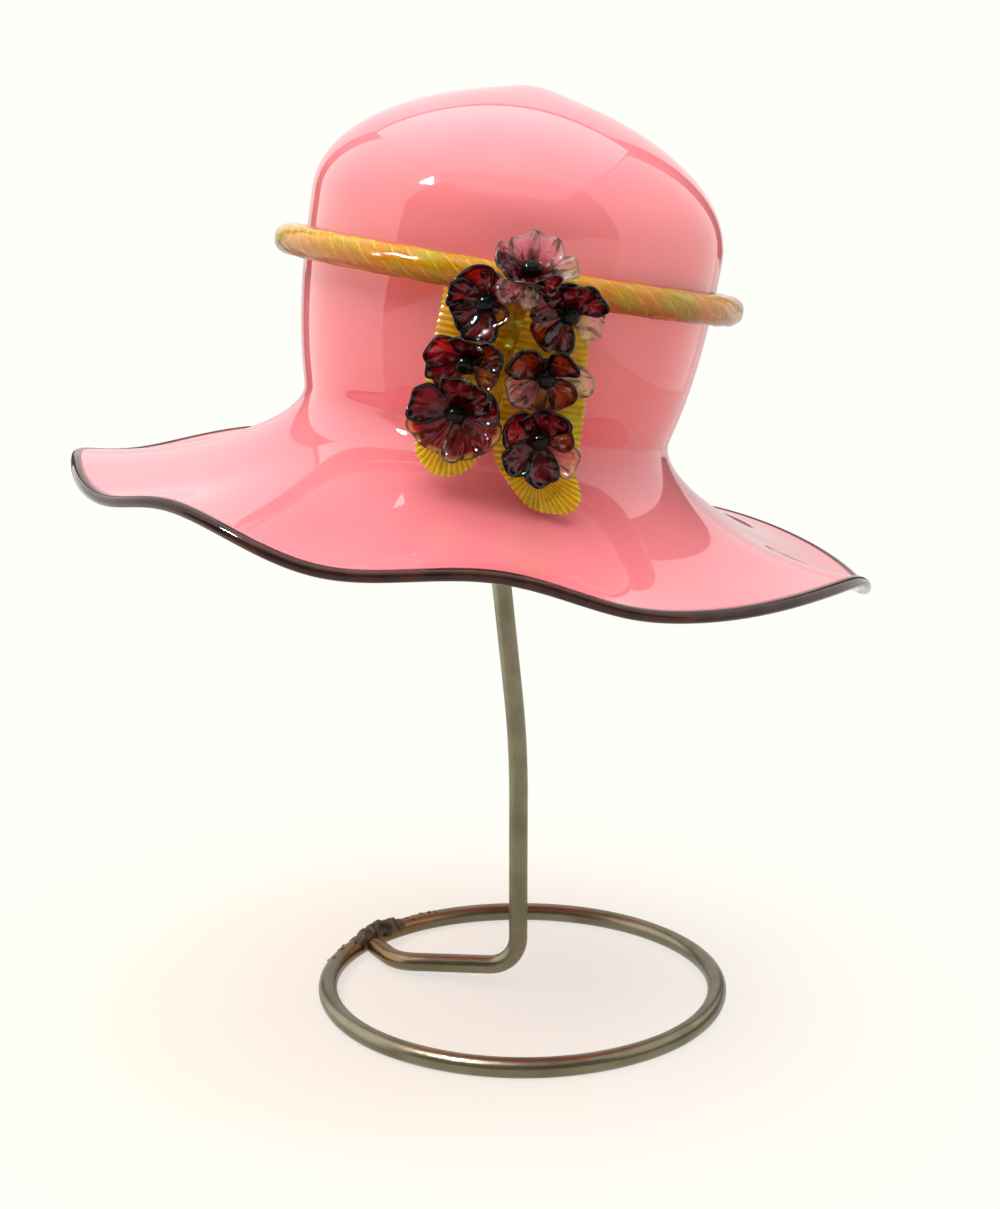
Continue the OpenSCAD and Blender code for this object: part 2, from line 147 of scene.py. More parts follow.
class CorsageSizes(bpy.types.PropertyGroup):
    """Sizes of the hatband, the leaves and the flowers"""

    band_d: length("Cane", "Thickness of the twisted cane", 0.0094)
    band_h: length("Cane height", "Height of the cane ring above the middle of the brim", 0.0777)
    band_ridge: length("Cane ridges", "Depth of the cane's twisted ridges", 0.0003)
    band_flat: length("Cane flat", "Depth of the small flat in the front of the cane", 0.0001)
    bond: length("Bond", "Bond line between glass pieces", 0.00015)
    flower_r: length("Flower", "Radius of a large flower", 0.0135)
    petal_rim: length("Petal rim", "Radius of the rounded rim of a petal", 0.0009)
    petal_thin: length("Petal middle", "Half thickness of a petal's middle", 0.0006)
    bead_r: length("Bead", "Radius of a flower's centre bead", 0.0027)
    leaf_t: length("Leaf", "Thickness of the leaves", 0.003)
    leaf_left_w: length("Left leaf", "Width of the left leaf", 0.019)
    leaf_right_w: length("Right leaf", "Width of the right leaf", 0.0235)
    leaf_centre_w: length("Centre leaf", "Width of the centre leaf", 0.011)
    leaf_rib: length("Leaf ribs", "Depth of the ribs pressed into the leaves", 0.0006)
    rib_pitch: length("Rib pitch", "Distance from rib to rib along a leaf's edge", 0.0018)
    bud_r: length("Bud", "Radius of the small green buds", 0.0016)


class Finishes(bpy.types.PropertyGroup):
    """Colours of the glass and the steel"""

    pink: paint("Pink", "Pink glass of the hat", 227, 121, 128)
    pink_pale: paint("Pale pink", "Thinner drifts in the pink glass", 233, 131, 138)
    lip: paint("Lip", "Dark glass along the brim's edge", 70, 36, 29)
    amber: paint("Amber", "Amber streaks of the cane and the leaves", 238, 172, 8)
    olive: paint("Olive", "Yellow-green streaks of the cane and the leaves", 206, 200, 8)
    straw: paint("Straw", "Clear straw-coloured glass between the streaks", 254, 242, 56)
    steel: paint("Steel", "Drawn steel bar", 130, 125, 103)
    steel_dark: paint("Scale", "Dark scale on the steel", 84, 78, 59)
    heat: paint("Heat tint", "Brown heat tint beside the weld", 122, 90, 52)


class StageSettings(bpy.types.PropertyGroup):
    """Light tent, floor and camera"""

    floor: paint("Floor", "Pale floor", 253, 234, 210)
    backdrop: paint("Backdrop", "White round the object", 255, 255, 249)
    tent_w: length("Tent", "Half width of the light tent", 0.3)
    tent_front: length("Tent front", "Distance of the tent's open front", 0.25)
    tent_flap: length("Tent flap", "Distance of the front edge of the dim flap before the ceiling", 0.6)
    tent_back: length("Tent back", "Distance of the tent's back sheet", 0.43)
    tent_top: length("Tent top", "Height of the tent's ceiling", 0.68)
    tent_gap: length("Tent gap", "Depth of the dark gap in front of the tent's back sheet", 0.036)
    back_left: length("Back sheet left", "Reach of the tent's back sheet to the left", 0.27)
    back_right: length("Back sheet right", "Reach of the tent's back sheet to the right", 0.24)
    back_step: length("Back sheet step", "Height above which the back sheet reaches the left side", 0.245)
    left_front: length("Left sheet front", "Distance of the left sheet's front edge", 0.15)
    left_fore: length("Left sheet top", "Distance of the front edge of the left sheet at its top", 0.36)
    left_rise: length("Left sheet rise", "Height above which the left sheet's front edge slopes", 0.22)
    left_end: length("Left sheet end", "Depth of the left sheet's rear edge", 0.265)
    right_foot: length("Right sheet foot", "Height of the right sheet's lower edge", 0.1)
    right_end: length("Right sheet end", "Depth of the right sheet's rear edge", 0.32)
    camera_x: length("Camera across", "Camera's place across", -0.0075, low=-1.0)
    camera_y: length("Camera distance", "Camera's distance in front", 0.5922)
    camera_z: length("Camera height", "Camera's height", 0.2547)
    camera_pitch: angle("Camera pitch", "How far the camera looks down", 11.5)
    focal_px: FloatProperty(
        name="Focal length", description="Focal length in pixels of the picture", default=1847.0
    )


class GlassHatSettings(bpy.types.PropertyGroup):
    """All settings of the glass hat"""

    stand: PointerProperty(type=StandSizes)
    hat: PointerProperty(type=HatSizes)
    corsage: PointerProperty(type=CorsageSizes)
    finish: PointerProperty(type=Finishes)
    stage: PointerProperty(type=StageSettings)


# Crests and hollows of the brim: bearing from +X in degrees, lift as a share of the largest, and
# growth of the radius
RUFFLES = (
    (41, 0.46, 0.0), (90, -0.33, 0.0), (124, 0.7, 0.0),
    (158, -0.31, 0.0), (193, 0.4, -0.024), (215, 0.09, 0.0),
    (231, 0.73, 0.001), (253, -0.04, 0.0), (274, 0.74, -0.001),
    (293, 0.11, -0.002), (333, 1.0, -0.004), (356, 0.04, -0.007),
)
# Step in degrees at which the ruffles are worked out, reach and width of their softening in such steps, and
# powers by which their lift and their growth gather towards the edge
RUFFLE_STEP = 0.5
SOFT_REACH = 16
SOFT_WIDTH = 6.0
LIFT_POWER = 1.6
GROWTH_POWER = 2
# Ridges of the cane, how often they pass over its top, and how often the lines inside it do
BAND_RIDGES = 5
BAND_TURNS = 26
LINE_TURNS = 78
# Small flat pressed into the front of the cane: bearing, angle round its section and rise of its face
FLAT = (245.7, 20.0, 22.0)
# Painted shade: tints that darken the cane's underside and brown its right side, where less light falls
BAND_UNDER_SHADE = tone(164, 134, 44)
BAND_RIGHT_SHADE = tone(244, 223, 218)


def bezier(points, t):
    """Points of a cubic curve at the shares t of its length."""
    p = np.array(points, float)
    t = np.asarray(t, float)[..., None]
    return (1 - t) ** 3 * p[0] + 3 * (1 - t) ** 2 * t * p[1] + 3 * (1 - t) * t**2 * p[2] + t**3 * p[3]


def bezier_slope(points, t):
    """Directions of a cubic curve at the shares t of its length."""
    p = np.array(points, float)
    t = np.asarray(t, float)[..., None]
    return 3 * (1 - t) ** 2 * (p[1] - p[0]) + 6 * (1 - t) * t * (p[2] - p[1]) + 3 * t**2 * (p[3] - p[2])


def dome_curve(hat):
    """Curve of the crown's top, from its middle to its shoulder."""
    return (
        (0, hat.crown_h),
        (hat.dome_flat, hat.crown_h),
        (hat.crown_r, hat.shoulder_h + hat.dome_round),
        (hat.crown_r, hat.shoulder_h),
    )


def wall_curve(hat):
    """Curve of the crown's wall, from its shoulder to the neck."""
    return (
        (hat.crown_r, hat.shoulder_h),
        (hat.crown_r, hat.shoulder_h - hat.wall_draw),
        (hat.neck_r, hat.neck_h + hat.neck_draw),
        (hat.neck_r, hat.neck_h),
    )


def brim_curve(hat):
    """Curve of the brim, from the neck to its edge."""
    return (
        (hat.neck_r, hat.neck_h),
        (hat.neck_r, hat.neck_h - hat.flare_drop),
        (hat.brim_r - hat.brim_flat, hat.brim_rise),
        (hat.brim_r, 0),
    )


def profile_rows(hat, dome, wall, brim):
    """Outer points and outward directions of the glass, from near the top to the brim's edge."""
    points, outs = [], []
    for curve, count in ((dome_curve(hat), dome), (wall_curve(hat), wall), (brim_curve(hat), brim)):
        t = np.arange(1, count + 1) / count
        slope = bezier_slope(curve, t)
        slope /= np.linalg.norm(slope, axis=1)[:, None]
        points.append(bezier(curve, t))
        outs.append(np.stack([-slope[:, 1], slope[:, 0]], 1))
    points[0][:, 1] += hat.nub_h * np.exp(-((points[0][:, 0] / hat.nub_r) ** 2))
    return np.vstack(points), np.vstack(outs)


def ruffle(degrees, column):
    """Lift share or growth of the brim's edge at a bearing, eased between crests and hollows and softened."""
    fine = np.arange(0, 360, RUFFLE_STEP)
    marks = [*RUFFLES, (RUFFLES[0][0] + 360, *RUFFLES[0][1:])]
    at = np.where(fine < marks[0][0], fine + 360, fine)
    value = np.zeros_like(fine)
    for start, end in zip(marks[:-1], marks[1:]):
        inside = (at >= start[0]) & (at <= end[0])
        t = (at[inside] - start[0]) / (end[0] - start[0])
        value[inside] = start[column] + (end[column] - start[column]) * t * t * (3 - 2 * t)
    offsets = np.arange(-SOFT_REACH, SOFT_REACH + 1)
    weights = np.exp(-((offsets / SOFT_WIDTH) ** 2))
    weights /= weights.sum()
    soft = sum(w * np.roll(value, o) for o, w in zip(offsets, weights))
    return np.interp(np.asarray(degrees) % 360, np.append(fine, 360), np.append(soft, soft[0]))


def brim_share(hat, radius):
    """How far out on the brim a radius lies, from 0 at the neck to 1 at the edge."""
    return max(0.0, (radius - hat.neck_r) / (hat.brim_r - hat.neck_r))


def brim_lift(hat, radius, degrees):
    """Height that the ruffles add at a radius of the brim."""
    return hat.ruffle_h * ruffle(degrees, 1) * brim_share(hat, radius) ** LIFT_POWER


def brim_growth(hat, radius, degrees):
    """Factor by which the ruffles change a radius of the brim."""
    return 1 + ruffle(degrees, 2) * brim_share(hat, radius) ** GROWTH_POWER


def top_lean(hat, height):
    """How far the crown is set sideways at a height above its shoulder."""
    return -hat.dome_lean * max(0.0, height - hat.shoulder_h) / (hat.crown_h - hat.shoulder_h)


def crown_radius(hat, height):
    """Radius of the crown's wall at a height."""
    p = bezier(wall_curve(hat), np.linspace(0, 1, 200))
    return float(np.interp(height, p[::-1, 1], p[::-1, 0]))


def brim_height(hat, radius):
    """Height of the brim at a radius, without its ruffles."""
    p = bezier(brim_curve(hat), np.linspace(0, 1, 200))
    return float(np.interp(radius, p[:, 0], p[:, 1]))


def hat_place(hat):
    """Matrix that sets the hat, built upright about its own axis, on the stand."""
    return Matrix.Translation((-hat.shift, -hat.front, hat.brim_z)) @ Matrix.Rotation(hat.tilt, 4, "Y")


def turns(count):
    """Angles of even steps round a full turn."""
    return np.arange(count) * 2 * np.pi / count


def round_at(radius, bearing, height):
    """Points at radii, bearings from +X in radians and heights."""
    return np.stack(np.broadcast_arrays(radius * np.cos(bearing), radius * np.sin(bearing), height), -1)


def circle(sides):
    """Points of a flat circle of radius 1."""
    return round_at(1.0, turns(sides), 0.0)


def polar(radius, bearing, height):
    """Point at a radius, a bearing from +X in radians and a height."""
    return radius * math.cos(bearing), radius * math.sin(bearing), height


def rising(value, start, span):
    """How far a value is through a span from a start, from 0 to 1."""
    return np.clip((value - start) / span, 0, 1)


def mix(a, b, share):
    """Value at a share of the way from one to another."""
    return a * (1 - share) + b * share


def skin(first, rings, last=None):
    """Skin over rings of points between two end points, or left open at the end: points and faces."""
    rings = np.asarray(rings, float)
    m, n = rings.shape[:2]
    points = np.vstack([[first], rings.reshape(-1, 3)])
    j = np.arange(n)
    k = (j + 1) % n
    faces = [(0, 1 + b, 1 + a) for a, b in zip(j, k)]
    for i in range(m - 1):
        a = 1 + i * n
        faces += list(zip(a + j, a + k, a + n + k, a + n + j))
    if last is not None:
        end = 1 + (m - 1) * n
        points = np.vstack([points, [last]])
        faces += [(1 + m * n, end + a, end + b) for a, b in zip(j, k)]
    return points, faces


def loop(rings):
    """Closed loop of rings of points, the last joined to the first: points and faces."""
    rings = np.asarray(rings, float)
    m, n = rings.shape[:2]
    j = np.arange(n)
    k = (j + 1) % n
    faces = []
    for i in range(m):
        a, b = i * n, (i + 1) % m * n
        faces += list(zip(a + j, b + j, b + k, a + k))
    return rings.reshape(-1, 3), faces


def gather(parts):
    """Several meshes of points and faces as one."""
    points, faces, count = [], [], 0
    for p, f in parts:
        points.append(p)
        faces += [tuple(int(i) + count for i in face) for face in f]
        count += len(p)
    return np.vstack(points), faces


def make_piece(name, points, faces, finish, body, slot, node, place=None, marks=None, colours=None):
    """Smooth closed mesh piece that rides on a body and stands for a CAD node.

    marks is one vector per point that the finish reads for its pattern, and colours one colour per point."""
    mesh = bpy.data.meshes.new(name)
    mesh.from_pydata(np.asarray(points, float).tolist(), [], [tuple(int(i) for i in f) for f in faces])
    if marks is not None:
        layer = mesh.attributes.new("pattern", "FLOAT_VECTOR", "POINT")
        layer.data.foreach_set("vector", np.asarray(marks, np.float32).ravel())
    if colours is not None:
        layer = mesh.attributes.new("tint", "FLOAT_COLOR", "POINT")
        rgba = np.hstack([np.asarray(colours, np.float32), np.ones((len(colours), 1), np.float32)])
        layer.data.foreach_set("color", rgba.ravel())
    if place is not None:
        mesh.transform(place)
    solid = bmesh.new()
    solid.from_mesh(mesh)
    bmesh.ops.remove_doubles(solid, verts=solid.verts, dist=1e-7)
    bmesh.ops.recalc_face_normals(solid, faces=solid.faces)
    solid.to_mesh(mesh)
    solid.free()
    mesh.polygons.foreach_set("use_smooth", [True] * len(mesh.polygons))
    mesh.materials.append(finish)
    piece = bpy.data.objects.new(name, mesh)
    bpy.context.scene.collection.objects.link(piece)
    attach(piece, body)
    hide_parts(node)
    return piece


def hat_piece(hat, name, mesh, finish, slot, node, place=None, **looks):
    """Piece that rides on the hat, from points and faces in the hat's own frame or at a place in it."""
    seat = hat_place(hat) if place is None else hat_place(hat) @ place
    return make_piece(name, *mesh, finish, "hat", slot, node, place=seat, **looks)


class Nodes:
    """Node tree of a material or a world, with short ways to build in it."""

    def __init__(self, owner):
        owner.use_nodes = True
        self.nodes = owner.node_tree.nodes
        self.links = owner.node_tree.links

    def node(self, kind, inputs=None, **settings):
        """New node, with each input linked to an output or set to a plain value."""
        made = self.nodes.new(kind)
        for name, value in settings.items():
            setattr(made, name, value)
        for key, value in (inputs or {}).items():
            if hasattr(value, "is_output"):
                self.links.new(value, made.inputs[key])
            else:
                made.inputs[key].default_value = value
        return made

    def maths(self, operation, a, b=0.0):
        return self.node("ShaderNodeMath", {0: a, 1: b}, operation=operation).outputs["Value"]

    def between(self, value, low, high, start=0.0, end=1.0):
        """Eased ramp from start to end as a value goes from low to high."""
        made = self.node(
            "ShaderNodeMapRange",
            {"Value": value, "From Min": low, "From Max": high, "To Min": start, "To Max": end},
            interpolation_type="SMOOTHSTEP",
        )
        return made.outputs["Result"]

    def choose(self, share, first, second):
        """Mix of two shaders."""
        return self.node("ShaderNodeMixShader", {"Fac": share, 1: first, 2: second}).outputs["Shader"]


class Finish(Nodes):
    """Node material with one principled shader, and short ways to build its patterns."""

    def __init__(self, name):
        self.material = bpy.data.materials.new(name)
        super().__init__(self.material)
        self.shader = self.nodes["Principled BSDF"]

    def set(self, **sockets):
        """Plain values on the shader's own sockets, with _ for the spaces of their names."""
        for name, value in sockets.items():
            self.shader.inputs[name.replace("_", " ")].default_value = value

    def feed(self, socket, output):
        self.links.new(output, self.shader.inputs[socket])

    def rough(self, pattern, low, high):
        """Roughness from low to high where a pattern rises."""
        self.feed("Roughness", self.between(pattern, 0.3, 0.7, low, high))

    def place(self):
        return self.node("ShaderNodeTexCoord").outputs["Object"]

    def attribute(self, name, output):
        return self.node("ShaderNodeAttribute", attribute_name=name).outputs[output]

    def stretch(self, vector, scale):
        """Vector scaled along each of its axes."""
        return self.node("ShaderNodeMapping", {"Vector": vector, "Scale": scale}).outputs["Vector"]

    def cloud(self, vector, scale, detail=3.0, rough=0.5):
        """Soft noise from 0 to 1."""
        inputs = {"Vector": vector, "Scale": scale, "Detail": detail, "Roughness": rough}
        return self.node("ShaderNodeTexNoise", inputs).outputs["Fac"]

    def blend(self, share, a, b, kind="MIX"):
        """Mix of two colours, each an output or three plain values."""
        a, b = (c if hasattr(c, "is_output") else (*c, 1.0) for c in (a, b))
        inputs = {0: share, 6: a, 7: b}
        return self.node("ShaderNodeMix", inputs, data_type="RGBA", blend_type=kind).outputs[2]

    def relief(self, height, depth, strength=1.0):
        """Bump of a depth in metres."""
        made = self.node("ShaderNodeBump", {"Height": height, "Distance": depth, "Strength": strength})
        self.feed("Normal", made.outputs["Normal"])


def pink_finish(colours):
    """Cased pink glass: glossy, with soft drifts in the pink and a faint waviness from blowing."""
    made = Finish("pink_cased_glass")
    at = made.place()
    drift = made.between(made.cloud(at, 14.0, 2.0), 0.35, 0.7)
    seeds = made.between(made.cloud(at, 900.0, 1.0), 0.72, 0.8, 0.0, 0.25)
    colour = made.blend(drift, colours.pink, colours.pink_pale)
    made.feed("Base Color", made.blend(seeds, colour, colours.pink_pale))
    made.rough(made.cloud(at, 60.0), 0.02, 0.045)
    made.relief(made.cloud(at, 26.0, 1.0), 0.0004, 0.12)
    made.set(IOR=1.5, Specular_IOR_Level=0.5)
    return made.material


def lip_finish(colours):
    """Dark plum-brown glass thread with a little light coming through."""
    made = Finish("dark_lip_glass")
    at = made.place()
    streak = made.between(made.cloud(at, 120.0, 3.0), 0.3, 0.7)
    made.feed("Base Color", made.blend(streak, 0.35 * colours.lip, colours.lip))
    made.rough(made.cloud(at, 300.0), 0.03, 0.07)
    made.set(IOR=1.5, Transmission_Weight=0.2, Specular_IOR_Level=0.25)
    return made.material


def cane_finish(colours):
    """Twisted cane: clear amber and yellow-green glass with fine bright lines wound through it."""
    made = Finish("twisted_cane_glass")
    pattern = made.attribute("pattern", "Vector")
    across = made.node("ShaderNodeSeparateXYZ", {"Vector": pattern}).outputs["Y"]
    at = made.place()
    patch = made.between(made.cloud(at, 62.0, 2.0), 0.43, 0.6)
    colour = made.blend(patch, colours.amber, colours.olive)
    shade = made.cloud(made.stretch(pattern, (2.0, 0.8, 0.8)), 1.6, 2.0)
    colour = made.blend(made.between(shade, 0.5, 0.66, 0.0, 0.4), colour, 0.4 * colours.amber)
    wander = made.maths("MULTIPLY", made.cloud(pattern, 1.4, 1.0), 0.5)
    strands = made.between(made.maths("ADD", across, wander), 1.0, 1.28)
    broken = made.between(made.cloud(made.stretch(pattern, (3.0, 1.0, 1.0)), 1.1, 1.0), 0.4, 0.6)
    colour = made.blend(made.maths("MULTIPLY", strands, broken), colour, colours.straw)
    # The tint carries the painted shade of the cane's underside and right side
    made.feed("Base Color", made.blend(1.0, colour, made.attribute("tint", "Color"), "MULTIPLY"))
    made.rough(made.cloud(at, 200.0), 0.01, 0.04)
    made.relief(made.cloud(made.stretch(pattern, (1.0, 1.6, 1.6)), 1.2, 1.0), 0.0004, 0.2)
    made.set(IOR=1.45, Transmission_Weight=0.5, Specular_IOR_Level=0.33)
    return made.material


def leaf_finish(colours):
    """Pressed leaf glass, amber at the top and yellow-green at the tip, with painted highlight on its ribs.
    """
    made = Finish("ribbed_leaf_glass")
    at = made.place()
    patch = made.between(made.cloud(at, 150.0, 3.0), 0.48, 0.62, 0.0, 0.35)
    colour = made.blend(patch, made.attribute("tint", "Color"), colours.amber)
    shade = made.between(made.cloud(at, 260.0, 2.0), 0.52, 0.66, 0.0, 0.4)
    # The tint paints highlight on the rib crests and shade in the hollows between them
    made.feed("Base Color", made.blend(shade, colour, 0.45 * colours.olive))
    made.rough(made.cloud(at, 500.0), 0.02, 0.06)
    made.relief(made.cloud(at, 420.0, 2.0), 0.0003, 0.3)
    made.set(IOR=1.45, Transmission_Weight=0.42, Specular_IOR_Level=0.4)
    return made.material


def petal_finish():
    """Lampworked petal glass: each petal's own garnet, amber or mauve, in streaks from its middle."""
    made = Finish("garnet_petal_glass")
    tint = made.attribute("tint", "Color")
    pattern = made.attribute("pattern", "Vector")
    streak = made.cloud(made.stretch(pattern, (1.6, 6.0, 1.0)), 1.6, 3.0)
    dark = made.blend(0.75, tint, (0.012, 0.002, 0.004))
    # The tint holds each petal's painted dark line round its rim
    made.feed("Base Color", made.blend(made.between(streak, 0.5, 0.66), tint, dark))
    made.rough(streak, 0.005, 0.02)
    made.relief(streak, 0.0008, 0.2)
    made.set(IOR=1.44, Transmission_Weight=0.8, Specular_IOR_Level=0.25)
    return made.material


def bead_finish():
    """Black glass bead with a trace of bottle green."""
    made = Finish("black_bead_glass")
    cloud = made.cloud(made.place(), 400.0, 2.0)
    share = made.between(cloud, 0.35, 0.7)
    made.feed("Base Color", made.blend(share, (0.002, 0.002, 0.002), (0.005, 0.006, 0.005)))
    made.rough(cloud, 0.01, 0.03)
    made.set(IOR=1.5, Specular_IOR_Level=0.15)
    return made.material


def bud_finish(colours):
    """Clear olive-green glass drops."""
    made = Finish("olive_bud_glass")
    cloud = made.cloud(made.place(), 500.0, 2.0)
    made.feed("Base Color", made.blend(made.between(cloud, 0.3, 0.7), colours.olive, colours.straw))
    made.rough(cloud, 0.02, 0.05)
    made.set(IOR=1.5, Transmission_Weight=0.9)
    return made.material


def steel_finish(colours, weld):
    """Satin drawn steel: fine lines along it, faint scale, and brown heat tint near the weld."""
    made = Finish("drawn_steel")
    at = made.place()
    pattern = made.attribute("pattern", "Vector")
    lines = made.cloud(made.stretch(pattern, (30.0, 5.0, 5.0)), 2.4, 4.0, 0.6)
    mottle = made.cloud(at, 60.0, 3.0, 0.5)
    grain = made.cloud(at, 1500.0, 2.0, 0.6)
    scale = made.between(mottle, 0.35, 0.7, 0.0, 0.5)
    colour = made.blend(scale, colours.steel, colours.steel_dark)
    colour = made.blend(made.between(lines, 0.5, 0.75, 0.0, 0.25), colour, colours.steel_dark)
    far = made.node("ShaderNodeVectorMath", {0: at, 1: tuple(weld)}, operation="DISTANCE").outputs["Value"]
    wander = made.maths("ADD", far, made.maths("MULTIPLY", mottle, 0.02))
    made.feed("Base Color", made.blend(made.between(wander, 0.022, 0.052, 0.85, 0.0), colour, colours.heat))
    made.feed("Roughness", made.between(made.maths("ADD", mottle, lines), 0.6, 1.4, 0.24, 0.36))
    made.relief(made.maths("ADD", grain, lines), 0.0001, 0.25)
    made.set(Metallic=0.9)
    return made.material


def weld_finish(colours):
    """Rough weld metal, grey-brown with slag in its hollows."""
    made = Finish("weld_metal")
    at = made.place()
    lumps = made.cloud(at, 420.0, 4.0, 0.65)
    slag = made.between(made.cloud(at, 160.0, 3.0), 0.5, 0.68, 0.0, 0.8)
    colour = made.blend(made.between(lumps, 0.35, 0.7), 0.35 * colours.steel_dark, 0.7 * colours.steel)
    made.feed("Base Color", made.blend(slag, colour, colours.heat))
    made.rough(lumps, 0.45, 0.7)
    made.relief(lumps, 0.0006, 0.8)
    made.set(Metallic=0.6)
    return made.material


def vinyl_finish():
    """Soft black vinyl with a dull grain."""
    made = Finish("black_vinyl")
    grain = made.cloud(made.place(), 1400.0, 3.0)
    share = made.between(grain, 0.3, 0.7)
    made.feed("Base Color", made.blend(share, (0.012, 0.012, 0.013), (0.03, 0.03, 0.032)))
    made.rough(grain, 0.45, 0.65)
    made.relief(grain, 0.0002, 0.5)
    made.set(IOR=1.45)
    return made.material


class HAT_OT_stand(bpy.types.Operator):
    """Base ring, bent stem, weld and tip cap of the steel stand"""

    bl_idname = "glass_hat.stand"
    bl_label = "Steel stand"

    def execute(self, context):
        settings = context.scene.glass_hat
        stand = settings.stand
        weld = weld_place(stand)
        steel = steel_finish(settings.finish, weld)
        base_ring(stand, steel)
        stem(stand, steel)
        weld_bead(stand, weld_finish(settings.finish))
        cap = frame["nodes"]["tip_cap"]
        cap.data.materials.clear()
        cap.data.materials.append(vinyl_finish())
        return {"FINISHED"}


# Sides of the round bar, and the depth of the base ring's unevenness
BAR_SIDES = 28
RING_UNEVEN = 0.00012
# Middle of the weld: bearing, and height in bar diameters
WELD_BEARING = math.radians(145)
WELD_HEIGHT = 0.7


def weld_place(stand):
    """Middle of the weld, on the base ring."""
    return Vector(polar(stand.ring, WELD_BEARING, stand.rod * WELD_HEIGHT))


def base_ring(stand, finish):
    """Ring of round bar, flat underneath, very slightly uneven as bent bar is."""
    steps = 288
    rod_r = stand.rod / 2
    f = turns(steps)
    a = -turns(BAR_SIDES)
    radius = stand.ring + RING_UNEVEN * (np.sin(3 * f + 0.6) + 0.5 * np.sin(7 * f))
    out = radius[:, None] + rod_r * np.cos(a)[None]
    z = np.maximum(rod_r - stand.ring_flat + rod_r * np.sin(a), 0.0)
    points, faces = loop(round_at(out, f[:, None], z[None]))
    marks = np.broadcast_arrays((f * stand.ring)[:, None], np.cos(a)[None], np.sin(a)[None])
    marks = np.stack(marks, 2).reshape(-1, 3)
    make_piece("base_ring_bar", points, faces, finish, "stand", "steel", "base_ring", marks=marks)


def bent_path(corners, bends, step):
    """Dense points along straight lengths joined by true bends."""
    corners = [np.array(c, float) for c in corners]
    ways = [(b - a) / np.linalg.norm(b - a) for a, b in zip(corners[:-1], corners[1:])]
    path = [corners[0]]

    def run_to(end):
        start = path[-1]
        pieces = max(1, int(np.linalg.norm(end - start) / step))
        path.extend(start + (end - start) * i / pieces for i in range(1, pieces + 1))

    for i in range(1, len(corners) - 1):
        before, after = ways[i - 1], ways[i]
        turn = math.acos(float(np.clip(before @ after, -1, 1)))
        cut = bends[i] * math.tan(turn / 2)
        run_to(corners[i] - before * cut)
        side = after - before * (before @ after)
        side /= np.linalg.norm(side)
        centre = path[-1] + side * bends[i]
        pieces = max(4, int(bends[i] * turn / step))
        for k in range(1, pieces + 1):
            angle = turn * k / pieces
            path.append(centre - side * bends[i] * math.cos(angle) + before * bends[i] * math.sin(angle))
    run_to(corners[-1])
    return np.array(path)


# Share of the bar's radius by which its ends are eased
END_EASE = 0.12


def rod_along(path, radius):
    """Round bar along a path with slightly eased ends: points, faces and pattern marks."""
    ways = np.gradient(path, axis=0)
    ways /= np.linalg.norm(ways, axis=1)[:, None]
    side = np.cross(ways[0], (0.0, 0.0, 1.0))
    side /= np.linalg.norm(side)
    a = turns(BAR_SIDES)
    rings, marks, far = [], [], 0.0
    for i, (p, way) in enumerate(zip(path, ways)):
        side = side - way * (side @ way)
        side /= np.linalg.norm(side)
        other = np.cross(way, side)
        far += np.linalg.norm(p - path[i - 1]) if i else 0.0
        ring = np.outer(np.cos(a), side) + np.outer(np.sin(a), other)
        rings.append(p + radius * ring)
        marks.append(np.stack([np.full(BAR_SIDES, far), np.cos(a), np.sin(a)], 1))
    first = path[0] + (rings[0] - path[0]) * (1 - END_EASE)
    last = path[-1] + (rings[-1] - path[-1]) * (1 - END_EASE)
    rings[0] = rings[0] + ways[0] * radius * END_EASE
    rings[-1] = rings[-1] - ways[-1] * radius * END_EASE
    rings = [first, *rings, last]
    marks = [marks[0], *marks, marks[-1]]
    points, faces = skin(path[0], rings, path[-1])
    marks = np.vstack([[marks[0][0]], np.vstack(marks), [marks[-1][0]]])
    return points, faces, marks


def tip_place():
    """Top of the stand's tip inside the crown, from the cap's own box."""
    low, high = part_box("tip_cap")
    return Vector(((low.x + high.x) / 2, (low.y + high.y) / 2, high.z))


# End of the bar at the weld: bearing, distance inside the ring in bar diameters, and lift off the floor
END_BEARING = math.radians(149)
END_SET = 0.79
END_LIFT = 0.0002
# Corner of the run: its place as shares of the ring's radius, and its lift off the floor
RUN_CORNER = (-0.66, 0.225)
RUN_LIFT = 0.0009
# Bend radii at the run's corner, at the start of the lean and at its end, and the step along the bar
RUN_BEND = 0.016
LEAN_BEND = 0.3
UPRIGHT_BEND = 0.09
BAR_STEP = 0.0015
# Thickness of the cap's top, and the play between it and the bar
CAP_TOP = 0.003
TIP_PLAY = 0.0002


def stem(stand, finish):
    """One length of bar from the weld along the run, up the elbow and the leaning stem to the tip."""
    rod_r = stand.rod / 2
    tip = tip_place()
    corners = [
        polar(stand.ring - stand.rod * END_SET, END_BEARING, rod_r + END_LIFT),
        (RUN_CORNER[0] * stand.ring, RUN_CORNER[1] * stand.ring, rod_r + RUN_LIFT),
        (stand.stem_x, stand.stem_y, stand.elbow_z),
        (stand.stem_x, stand.stem_y, stand.lean_z),
        (tip.x, tip.y, stand.upright_z),
        (tip.x, tip.y, tip.z - CAP_TOP - TIP_PLAY),
    ]
    path = bent_path(corners, (0, RUN_BEND, stand.elbow, LEAN_BEND, UPRIGHT_BEND, 0), BAR_STEP)
    points, faces, marks = rod_along(path, rod_r)
    make_piece("stem_bar", points, faces, finish, "stand", "steel", "stem", marks=marks)


# Weld blobs: bearing in degrees, then distance from the ring, height and radius in bar radii
WELD_BLOBS = (
    (152.5, -0.1, 1.3, 0.95), (149, -0.25, 1.75, 0.95), (145.5, -0.55, 1.95, 1.05),
    (142, -0.3, 2.05, 0.9), (139.5, -0.65, 1.8, 1.0), (136, -0.2, 1.75, 0.85),
    (133.5, -0.35, 1.45, 0.8),
)
